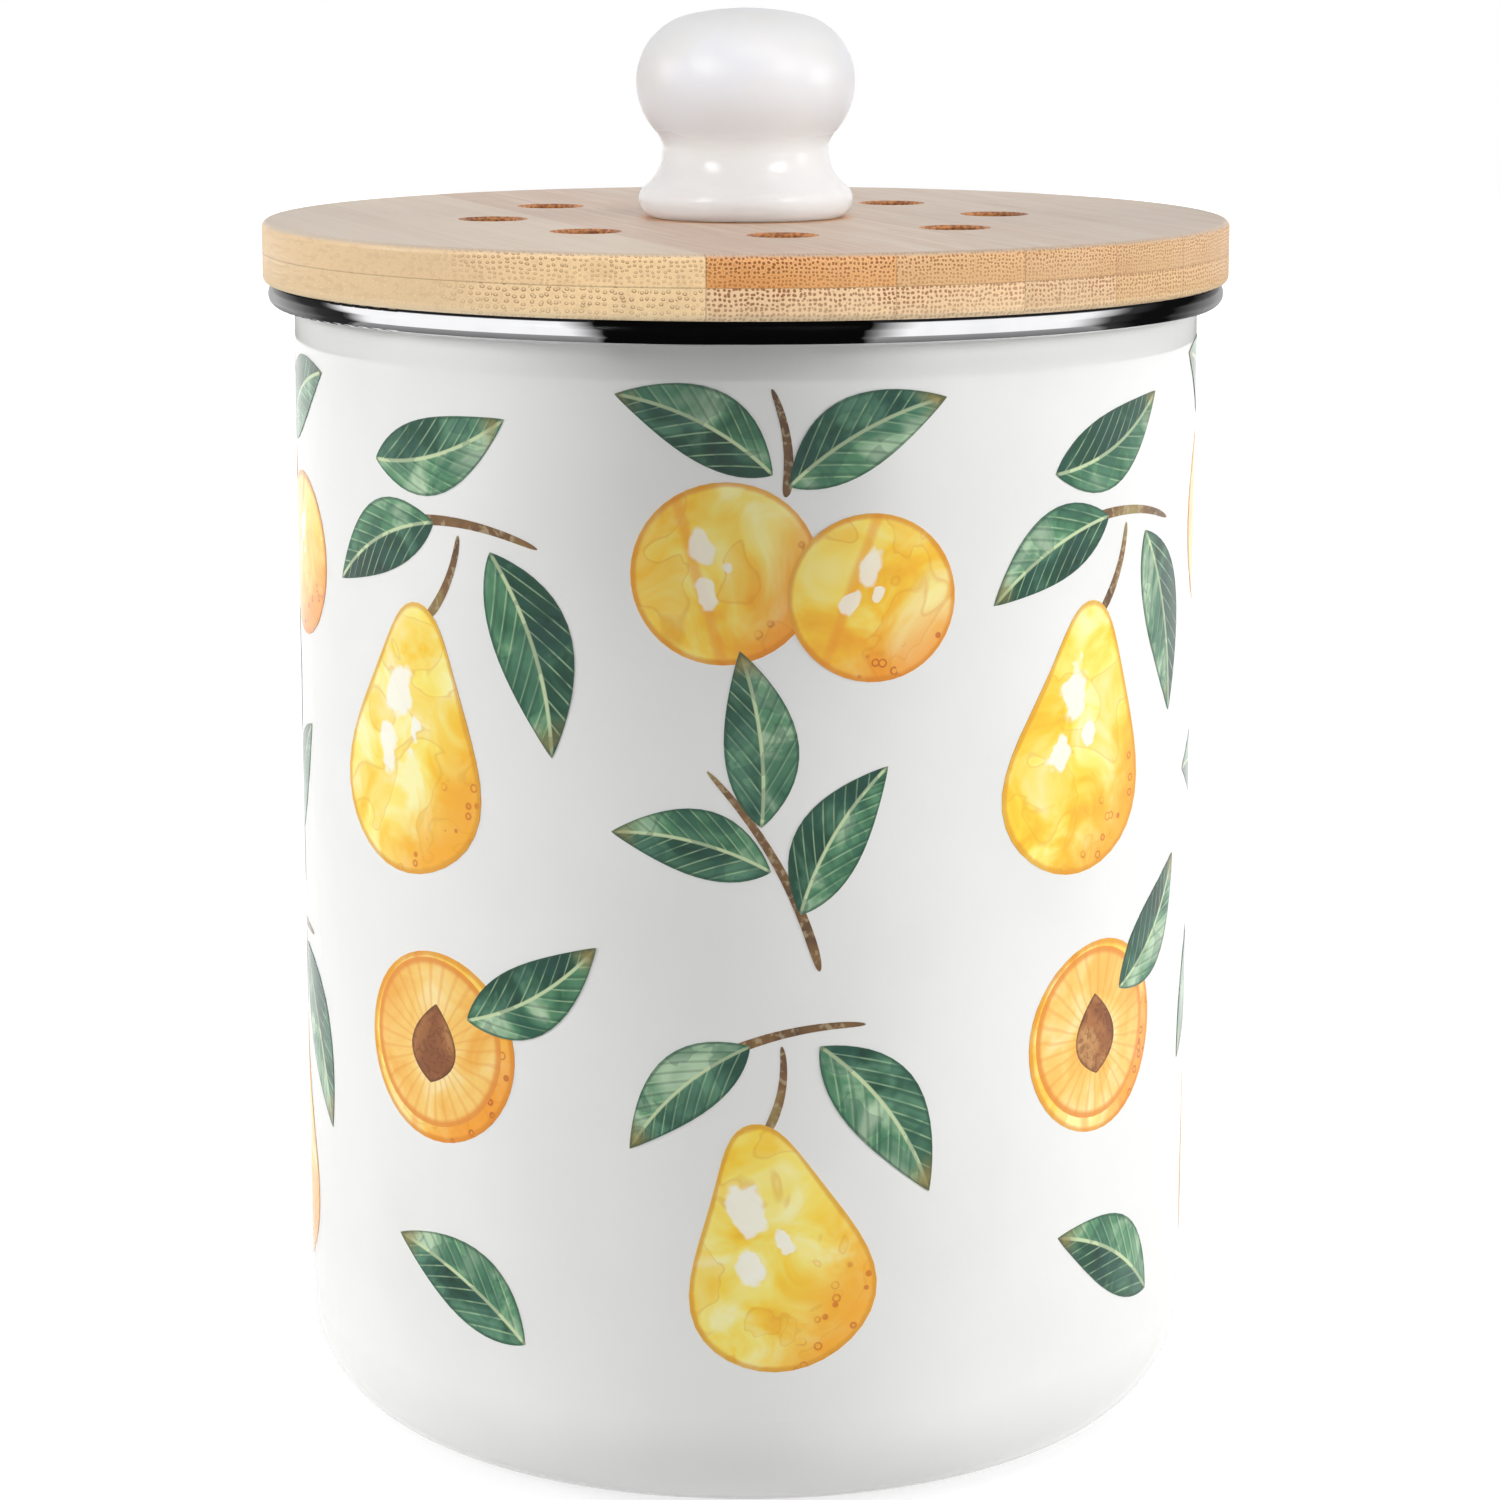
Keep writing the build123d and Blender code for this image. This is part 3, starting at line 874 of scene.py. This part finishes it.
def polished_steel():
    """Mirror polish. On the bead it works out the bead's own normal from its section, a ring
    of metal round a short upright line, so that the mesh's facets don't show."""
    material, tree = new_material("polished_steel")
    place = object_place(tree)
    right, back, height = split(tree, place)
    reach = hypotenuse(tree, right, back)
    lines = node(tree, "ShaderNodeCombineXYZ", {0: reach, 1: height}).outputs[0]
    hair = noise(tree, lines, 9000, 2)
    smear = noise(tree, place, 130, 3)
    shine = fading(tree, smear, 0.35, 0.75, 0.025, 0.075)
    colour = mixed(tree, fading(tree, smear, 0.4, 0.7), polished_colour, polished_shade)
    outward = sums(tree, "SUBTRACT", 1.0, sums(tree, "DIVIDE", bead_centre, reach))
    middle = sums(tree, "MINIMUM", sums(tree, "MAXIMUM", height, bead_heights[0]), bead_heights[1])
    rise = sums(tree, "SUBTRACT", height, middle)
    flat = stretched(tree, place, (1, 1, 0))
    flat = node(tree, "ShaderNodeVectorMath", {0: flat, 3: outward}, operation="SCALE").outputs[0]
    upward = node(tree, "ShaderNodeCombineXYZ", {2: rise}).outputs[0]
    bead = node(tree, "ShaderNodeVectorMath", {0: flat, 1: upward}, operation="ADD").outputs[0]
    bead = node(tree, "ShaderNodeVectorMath", {0: bead}, operation="NORMALIZE").outputs[0]
    own = tree.nodes.new("ShaderNodeNewGeometry").outputs["Normal"]
    inputs = {0: fading(tree, reach, bead_centre + 0.0001, bead_centre + 0.0003), 4: own, 5: bead}
    normal = node(tree, "ShaderNodeMix", inputs, data_type="VECTOR").outputs[1]
    normal = bump(tree, hair, 0.000002, 0.15, normal)
    principled(tree, Base_Color=colour, Metallic=1.0, Roughness=shine, Normal=normal)
    return material


dress("rim_band", polished_steel())

# Bamboo lid board
# Two layers of bamboo strips, glued edge to edge and then to each other, turned round,
# bored with eight vent holes, sanded and oiled. The fibres run in one direction.
grain_turn = math.radians(-20)
strip_edges = (-0.0307, -0.0048, 0.0154, 0.0322, 0.0474)
seam_width = (0.00004, 0.00014)
glue_width = (0.00004, 0.00013)
ply_bottom = 0.18
ply_thickness = 0.0047
flank_places = (-0.0635, -0.0555)
painted_shade_places = (-0.066, -0.042)
painted_light_heights = (0.1801, 0.1816)
top_face_heights = (0.1887, 0.1893)
bundle_wander = (0.9, 0, 0.9)
disc_reach = (0.20, 0.38)
ring_reach = 0.21
halo_reach = 0.47
vent_count = 8
vent_ring = 0.0394
vent_radius = 0.005
vent_first = math.radians(-82)
scorch_and_shade_widths = (0.00038, 0.0005)
foot_shadow_radii = (0.0160, 0.0176)
burnt_and_shadow_brown = srgb(204, 134, 70)
charred_and_shaded = srgb(128, 70, 32)
glue_dark = srgb(140, 92, 54)
blotch_tone = srgb(240, 214, 172)
painted_shade_tone = srgb(218, 188, 146)
painted_light_tone = srgb(252, 232, 196)
painted_sheen_tone = srgb(195, 178, 162)
halo_tone = srgb(252, 222, 176)
heart_tone = srgb(246, 226, 190)
upper_strips = (
    (srgb(255, 222, 170), srgb(150, 78, 8), 0.74, 0.25),
    (srgb(230, 158, 82), srgb(138, 58, 2), 0.62, 0.85),
    (srgb(218, 170, 116), srgb(158, 86, 24), 0.60, 0.8),
    (srgb(206, 160, 110), srgb(158, 90, 28), 0.57, 0.7),
    (srgb(200, 156, 108), srgb(156, 92, 32), 0.54, 0.6),
    (srgb(202, 160, 114), srgb(158, 96, 36), 0.54, 0.6),
)
lower_strips = (
    (srgb(255, 225, 174), srgb(154, 84, 10), 0.97, 0.1),
    (srgb(248, 214, 170), srgb(142, 66, 4), 0.70, 0.9),
    (srgb(240, 206, 163), srgb(150, 80, 18), 0.70, 0.85),
    (srgb(214, 180, 138), srgb(158, 94, 34), 0.68, 0.8),
    (srgb(206, 164, 112), srgb(156, 90, 28), 0.62, 0.6),
    (srgb(206, 166, 118), srgb(158, 94, 32), 0.62, 0.6),
)


def along_fibres(tree, stretch):
    """Places turned with the fibres, and stretched."""
    return object_place(tree, grain_turn, stretch)


def strip_ramp(tree, share, values):
    """Each strip's own value, by its share of the way across the board."""
    stops = [(index / len(values), value) for index, value in enumerate(values)]
    return ramp(tree, share, stops, True)


def fibre_bundles(tree, grain, closeness, filled):
    """The bundles where a cut goes across the fibres: filled dots or rings, the rings' pale
    hearts, and the pale wood round each."""
    spots = stretched(tree, grain, (1000, 22, 1000))
    inputs = {"Vector": along_fibres(tree, (300, 25, 300)), "Scale": 1.0, "Detail": 1.0}
    drift = node(tree, "ShaderNodeTexNoise", inputs).outputs["Color"]
    inputs = {0: drift, 1: bundle_wander, 2: spots}
    spots = node(tree, "ShaderNodeVectorMath", inputs, operation="MULTIPLY_ADD").outputs[0]
    spots = stretched(tree, spots, closeness)
    inputs = {0: spots, 1: cells(tree, spots, 1.0, 0.45).outputs["Position"]}
    own = node(tree, "ShaderNodeVectorMath", inputs, operation="SUBTRACT").outputs[0]
    right, _, up = split(tree, own)
    reach = hypotenuse(tree, right, up)
    disc = fading(tree, reach, *disc_reach, 1, 0)
    ring = fading(tree, apart(tree, reach, ring_reach), 0.02, 0.09, 1, 0)
    ring = times(tree, ring, fading(tree, up, -0.15, 0.2, 1, 0.2))
    hollow = sums(tree, "SUBTRACT", 1.0, filled)
    dot = sums(tree, "ADD", times(tree, disc, filled), times(tree, ring, hollow))
    heart = times(tree, fading(tree, reach, 0.06, 0.16, 1, 0), hollow)
    halo = fading(tree, apart(tree, reach, halo_reach), 0.03, 0.12, 0.5, 0)
    return dot, heart, halo


def scorched_and_shaded(tree, place, colour, top_face):
    """The colour with burnt wood and painted shade in the vent holes, and a painted contact shadow,
    warm brown, round the knob's foot.
    """
    right, back, _ = split(tree, place)
    out = hypotenuse(tree, right, back)
    turn = 2 * math.pi / vent_count
    angle = sums(tree, "SUBTRACT", sums(tree, "ARCTAN2", back, right), vent_first - turn / 2)
    angle = sums(tree, "SUBTRACT", sums(tree, "FLOORED_MODULO", angle, turn), turn / 2)
    side = times(tree, out, sums(tree, "SINE", angle))
    ahead = sums(tree, "SUBTRACT", times(tree, out, sums(tree, "COSINE", angle)), vent_ring)
    start, end = (vent_radius + width for width in scorch_and_shade_widths)
    # Burnt wood and painted shade: the vent holes' walls and edges are darkened, partly for the burn
    # of boring and partly for the shade inside the holes.
    scorch_and_shade = fading(tree, hypotenuse(tree, side, ahead), start, end, 0.95, 0)
    soot_and_shade = mixed(tree, fading(tree, noise(tree, place, 1500, 2), 0.35, 0.65), burnt_and_shadow_brown, charred_and_shaded)
    colour = mixed(tree, scorch_and_shade, colour, soot_and_shade)
    # Painted contact shadow: a warm brown ring on the top face round the knob's foot.
    ring = times(tree, fading(tree, out, *foot_shadow_radii, 0.6, 0), top_face)
    return mixed(tree, ring, colour, burnt_and_shadow_brown)


def bamboo(name, strips, has_vents):
    """Bamboo. Each strip's row is its tone, the colour of its fibre bundles, their spacing in
    millimetres, and the share of them that are filled dots instead of rings."""
    material, tree = new_material(name)
    place = object_place(tree)
    grain = along_fibres(tree, (1, 1, 1))
    across, _, height = split(tree, grain)
    index = 0.5
    line = 0.0
    for edge in strip_edges:
        index = sums(tree, "ADD", index, sums(tree, "GREATER_THAN", across, edge))
        seam = fading(tree, apart(tree, across, edge), *seam_width, 1, 0)
        line = sums(tree, "MAXIMUM", line, seam)
    share = sums(tree, "DIVIDE", index, float(len(strips)))
    strip_tones, bundle_tones, spacings, filled_shares = zip(*strips)
    tone = strip_ramp(tree, share, strip_tones)
    bundle_tone = strip_ramp(tree, share, bundle_tones)
    closeness = strip_ramp(tree, share, [(1 / value, 1 / value, 1 / value, 1) for value in spacings])
    filled = strip_ramp(tree, share, [(value, value, value, 1) for value in filled_shares])
    top_face = fading(tree, height, *top_face_heights)
    flank = fading(tree, across, *flank_places, 1, 0)
    in_ply = sums(tree, "FLOORED_MODULO", sums(tree, "SUBTRACT", height, ply_bottom), ply_thickness)
    skin = fading(tree, in_ply, 0.0004, 0.7 * ply_thickness, 0.5, 1)
    dot, heart, halo = fibre_bundles(tree, grain, closeness, filled)
    patchy = fading(tree, noise(tree, grain, 90, 2), 0.3, 0.55, 0.7, 1)
    patchy = times(tree, patchy, sums(tree, "MULTIPLY_ADD", flank, -0.92, 1.0))
    dot = times(tree, dot, times(tree, patchy, skin))
    dot = times(tree, dot, sums(tree, "MULTIPLY_ADD", top_face, -0.68, 1.0))
    halo = times(tree, times(tree, halo, skin), sums(tree, "SUBTRACT", 1.0, top_face))
    halo = times(tree, halo, sums(tree, "SUBTRACT", 1.0, flank))
    fibre = noise(tree, along_fibres(tree, (3600, 70, 3600)), 1.0, 3, 0.6)
    thread = noise(tree, along_fibres(tree, (1400, 55, 1400)), 1.0, 2, 0.6)
    streak = noise(tree, along_fibres(tree, (420, 9, 420)), 1.0, 3, 0.6)
    blotch = noise(tree, place, 34, 3)
    colour = mixed(tree, fading(tree, fibre, 0.3, 0.75, 0, 0.16), tone, bundle_tone)
    thread = times(tree, fading(tree, thread, 0.5, 0.64, 0, 0.42), flank)
    colour = mixed(tree, thread, colour, bundle_tone)
    colour = mixed(tree, fading(tree, streak, 0.45, 0.75, 0, 0.16), colour, bundle_tone)
    colour = mixed(tree, fading(tree, blotch, 0.4, 0.75, 0, 0.25), colour, blotch_tone)
    # Painted shade: the board's left end is darkened where the left light falls strongest.
    colour = mixed(tree, fading(tree, across, *painted_shade_places, 0.8, 0), colour, painted_shade_tone)
    # Painted sheen: the top face is mixed towards a pale greyish tone that stands in for the bright
    # surround reflecting on the oiled wood at a low angle.
    colour = mixed(tree, times(tree, top_face, 0.84), colour, painted_sheen_tone)
    # Painted light: the lowest edge of the board is lightened to lift the shade of the gap under it.
    colour = mixed(tree, fading(tree, height, *painted_light_heights, 0.55, 0), colour, painted_light_tone)
    colour = mixed(tree, halo, colour, halo_tone)
    colour = mixed(tree, times(tree, dot, 0.95), colour, bundle_tone)
    colour = mixed(tree, times(tree, heart, 0.35), colour, heart_tone)
    if has_vents:
        colour = scorched_and_shaded(tree, place, colour, top_face)
    glue = fading(tree, apart(tree, height, ply_bottom + ply_thickness), *glue_width, 1, 0)
    line = sums(tree, "MAXIMUM", line, glue)
    colour = mixed(tree, times(tree, line, 0.42), colour, glue_dark)
    shine = sums(tree, "MULTIPLY_ADD", dot, 0.15, fading(tree, streak, 0.3, 0.7, 0.37, 0.43))
    relief = sums(tree, "MULTIPLY_ADD", dot, -0.5, times(tree, fibre, 0.5))
    relief = sums(tree, "MULTIPLY_ADD", line, -0.6, relief)
    relief = times(tree, relief, sums(tree, "MULTIPLY_ADD", top_face, -0.6, 1.0))
    relief = bump(tree, relief, 0.00004, 0.4)
    shader = principled(tree, Base_Color=colour, Roughness=shine, Normal=relief)
    feed(tree, shader.inputs["Specular IOR Level"], sums(tree, "MULTIPLY_ADD", top_face, 0.24, 0.26))
    return material


dress("lid_lower_ply", bamboo("bamboo_lower", lower_strips, True))
dress("lid_upper_ply", bamboo("bamboo_upper", upper_strips, True))

# Lid plug
# A bamboo ring turned from the same board and glued under it. It centres the lid in the
# mouth and holds the seal in its groove.
plug_strips = (
    (srgb(228, 194, 146), srgb(150, 78, 8), 1.0, 0.4),
    (srgb(220, 178, 128), srgb(138, 58, 2), 0.85, 0.7),
    (srgb(226, 190, 144), srgb(158, 86, 24), 0.9, 0.6),
    (srgb(218, 176, 126), srgb(158, 90, 28), 0.8, 0.7),
    (srgb(226, 188, 140), srgb(156, 92, 32), 0.9, 0.6),
    (srgb(222, 182, 134), srgb(158, 96, 36), 0.85, 0.6),
)
dress("lid_plug", bamboo("bamboo_plug", plug_strips, False))

# Seal ring
# Moulded in soft translucent silicone and pressed into the plug's groove. It picks up dust
# and has a matt bloom.
silicone_colour = srgb(236, 235, 230)
silicone_bloom = srgb(224, 222, 214)
silicone_dust = srgb(150, 140, 126)


def silicone():
    """Soft white rubber that lets a little light in, with a matt bloom and dust."""
    material, tree = new_material("silicone")
    place = object_place(tree)
    bloom = noise(tree, place, 160, 4)
    dust = cells(tree, place, 420)
    rare = sums(tree, "GREATER_THAN", dust.outputs["Color"], 0.8)
    speck = times(tree, fading(tree, dust.outputs["Distance"], 0.04, 0.08, 0.5, 0), rare)
    colour = mixed(tree, fading(tree, bloom, 0.3, 0.7), silicone_colour, silicone_bloom)
    colour = mixed(tree, speck, colour, silicone_dust)
    shine = fading(tree, bloom, 0.3, 0.7, 0.38, 0.55)
    relief = bump(tree, bloom, 0.00003, 0.4)
    shader = principled(tree, Base_Color=colour, Roughness=shine, Normal=relief)
    shader.inputs["Subsurface Weight"].default_value = 0.25
    shader.inputs["Subsurface Radius"].default_value = (0.003, 0.0028, 0.0025)
    return material


dress("seal_ring", silicone())

# Knob insert
# A threaded insert turned from brass and bonded into the knob's foot, for the screw. It has
# a light tarnish.
brass = srgb(226, 196, 132)
brass_tarnish = srgb(190, 152, 92)


def turned_metal(name, colour, shade, low, high, pitch, depth):
    """Metal with the fine rings that a turning tool or a thread leaves."""
    material, tree = new_material(name)
    place = object_place(tree)
    height = split(tree, place)[2]
    clouds = noise(tree, place, 380, 4)
    grit = noise(tree, place, 4200, 2)
    rings = sums(tree, "SINE", times(tree, height, 2 * math.pi / pitch))
    made = mixed(tree, fading(tree, clouds, 0.35, 0.7), colour, shade)
    relief = sums(tree, "MULTIPLY_ADD", grit, 0.4, rings)
    shine = fading(tree, clouds, 0.3, 0.7, low, high)
    relief = bump(tree, relief, depth, 0.5)
    principled(tree, Base_Color=made, Metallic=1.0, Roughness=shine, Normal=relief)
    return material


dress("knob_insert", turned_metal("turned_brass", brass, brass_tarnish, 0.22, 0.4, 0.0007, 0.00005))

# Knob
# Turned porcelain, dipped in clear white glaze. The glaze is glossier in the neck, and painted light
# whitens the neck, the foot and the underside of the head. Its foot is left bare where it stood in the
# kiln, and its bare colour is also a painted contact shadow.
porcelain_colour = srgb(219, 220, 225)
porcelain_warm = srgb(219, 218, 218)
painted_light_white = srgb(247, 247, 246)
lower_knob_heights = (0.1985, 0.2040)
biscuit_and_shadow = srgb(214, 202, 186)
bare_and_shaded_heights = (0.18955, 0.1898)
porcelain_speck = srgb(150, 138, 122)


def porcelain():
    """White porcelain under a clear glaze, glossier in the neck, with painted light on its lower part
    and a painted contact shadow at its bare foot.
    """
    material, tree = new_material("porcelain")
    place = object_place(tree)
    height = split(tree, place)[2]
    clouds = noise(tree, place, 70, 3)
    speck = cells(tree, place, 330)
    rare = sums(tree, "GREATER_THAN", speck.outputs["Color"], 0.93)
    dot = times(tree, fading(tree, speck.outputs["Distance"], 0.03, 0.07, 0.4, 0), rare)
    lower_knob = fading(tree, height, *lower_knob_heights, 1, 0)
    bare_and_shaded = fading(tree, height, *bare_and_shaded_heights, 1, 0)
    colour = mixed(tree, fading(tree, clouds, 0.35, 0.7), porcelain_colour, porcelain_warm)
    # Painted light: the neck, the foot and the underside of the head are whitened to lift their shade.
    colour = mixed(tree, lower_knob, colour, painted_light_white)
    colour = mixed(tree, dot, colour, porcelain_speck)
    # The bare foot, darker and warmer, is both unglazed porcelain and a painted contact shadow where
    # the knob stands on the lid.
    colour = mixed(tree, bare_and_shaded, colour, biscuit_and_shadow)
    shine = fading(tree, clouds, 0.3, 0.75, 0.30, 0.38)
    shine = sums(tree, "MULTIPLY_ADD", lower_knob, -0.25, shine)
    shine = sums(tree, "MULTIPLY_ADD", bare_and_shaded, 0.5, shine)
    relief = bump(tree, noise(tree, place, 150, 1), 0.00005, 0.5)
    shader = principled(tree, Base_Color=colour, Roughness=shine, Normal=relief)
    shader.inputs["Specular IOR Level"].default_value = 0.35
    shader.inputs["Subsurface Weight"].default_value = 1.0
    shader.inputs["Subsurface Radius"].default_value = (1.0, 0.98, 0.96)
    shader.inputs["Subsurface Scale"].default_value = 0.022
    return material


dress("knob", porcelain())

# Knob washer and screw
# A steel washer and an M4 pan head screw, both zinc plated. The screw goes up through the
# board into the insert and holds the knob.
zinc = srgb(206, 208, 212)
zinc_shade = srgb(176, 178, 176)
dress("knob_washer", turned_metal("zinc_washer", zinc, zinc_shade, 0.26, 0.42, 0.0002, 0.00001))
dress("knob_screw", turned_metal("zinc_screw", zinc, zinc_shade, 0.24, 0.4, 0.0007, 0.00012))

# Filter pad
# A round of charcoal felt laid in the board's recess. It is a fluffy, compressible pad, so
# it swells a little between the cover and the board.
pad_radius = 0.0493
pad_hole_radius = 0.0062
pad_bottom = 0.17402
pad_top = 0.17995
pad_rings = 22
pad_spokes = 180
pad_round = 0.0012
pad_shoulder = 0.0009
pad_bulge = 0.0003
pad_waver = 0.00022
felt_dark = srgb(34, 34, 36)
felt_light = srgb(62, 62, 64)
felt_lint = srgb(120, 120, 122)
charcoal = srgb(18, 18, 20)


def felt_pad():
    """A ring with rounded, slightly uneven sides: a loop of points turned round the axis."""
    inner, outer = pad_hole_radius + pad_round, pad_radius - pad_round
    low, high = pad_bottom + pad_shoulder, pad_top - pad_shoulder
    middle = (pad_bottom + pad_top) / 2
    shares = [step / pad_rings for step in range(pad_rings + 1)]
    section = [(outer - share * (outer - inner), pad_top) for share in shares]
    section.append((pad_hole_radius + pad_bulge, high))
    section.append((pad_hole_radius, middle))
    section.append((pad_hole_radius + pad_bulge, low))
    section += [(inner + share * (outer - inner), pad_bottom) for share in shares]
    section.append((pad_radius - pad_bulge, low))
    section.append((pad_radius, middle))
    section.append((pad_radius - pad_bulge, high))
    points = []
    chances = random.Random(7)
    for spoke in range(pad_spokes):
        angle = 2 * math.pi * spoke / pad_spokes
        for radius, height in section:
            if height in (pad_top, pad_bottom):
                inward = 1 if height == pad_bottom else -1
                height += inward * chances.uniform(0.0, pad_waver)
            else:
                inward = 1 if radius > inner else -1
                radius -= inward * chances.uniform(0.0, pad_bulge)
            points.append((radius * math.cos(angle), radius * math.sin(angle), height))
    count = len(section)
    faces = []
    for spoke in range(pad_spokes):
        start, following = spoke * count, (spoke + 1) % pad_spokes * count
        for step in range(count):
            other = (step + 1) % count
            faces.append((start + step, start + other, following + other, following + step))
    mesh = bpy.data.meshes.new("felt_pad")
    mesh.from_pydata(points, [], faces)
    mesh.polygons.foreach_set("use_smooth", [True] * len(faces))
    return mesh


def charcoal_felt():
    """Black felt full of charcoal grains, with a little pale lint."""
    material, tree = new_material("charcoal_felt")
    place = object_place(tree)
    fibres = noise(tree, place, 900, 4, 0.7, 2.0)
    grains = cells(tree, place, 1400).outputs["Distance"]
    lint = fading(tree, noise(tree, place, 2600, 2, 0.5, 3.0), 0.62, 0.7)
    colour = mixed(tree, fading(tree, fibres, 0.3, 0.7), felt_dark, felt_light)
    colour = mixed(tree, fading(tree, grains, 0.1, 0.3, 0.6, 0), colour, charcoal)
    colour = mixed(tree, times(tree, lint, 0.4), colour, felt_lint)
    relief = bump(tree, sums(tree, "ADD", fibres, times(tree, grains, 0.5)), 0.0004, 0.9)
    shine = fading(tree, fibres, 0.3, 0.7, 0.82, 0.98)
    shader = principled(tree, Base_Color=colour, Roughness=shine, Normal=relief)
    shader.inputs["Sheen Weight"].default_value = 0.3
    shader.inputs["Sheen Roughness"].default_value = 0.5
    return material


pad = bpy.data.objects.new("felt_pad", felt_pad())
bpy.context.scene.collection.objects.link(pad)
pad.data.materials.append(charcoal_felt())
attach(pad, "lid")
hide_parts("filter_pad")

# Filter cover
# A slotted plate of brushed stainless steel that holds the pad up. The brushing runs
# straight across it.
brushed_colour = (0.62, 0.62, 0.63, 1.0)
brushed_shade = (0.55, 0.55, 0.56, 1.0)
brushing_turn = 0.6
brushing_stretch = (60, 5200, 5200)


def brushed_steel():
    """Steel with straight brushed lines and faint clouds."""
    material, tree = new_material("brushed_steel")
    lines = noise(tree, object_place(tree, brushing_turn, brushing_stretch), 1.0, 3, 0.6)
    clouds = noise(tree, object_place(tree), 45, 3)
    colour = mixed(tree, fading(tree, lines, 0.3, 0.7), brushed_shade, brushed_colour)
    shine = sums(tree, "MULTIPLY_ADD", lines, 0.16, fading(tree, clouds, 0.3, 0.7, 0.2, 0.3))
    relief = bump(tree, lines, 0.00001, 0.35)
    principled(tree, Base_Color=colour, Metallic=1.0, Roughness=shine, Normal=relief)
    return material


dress("filter_cover", brushed_steel())

# Cover screws
# Four small countersunk wood screws of zinc plated steel. They hold the cover, with the pad
# above it, to the plug.
dress("filter_screws", turned_metal("zinc_wood_screws", zinc, zinc_shade, 0.26, 0.44, 0.0009, 0.00008))
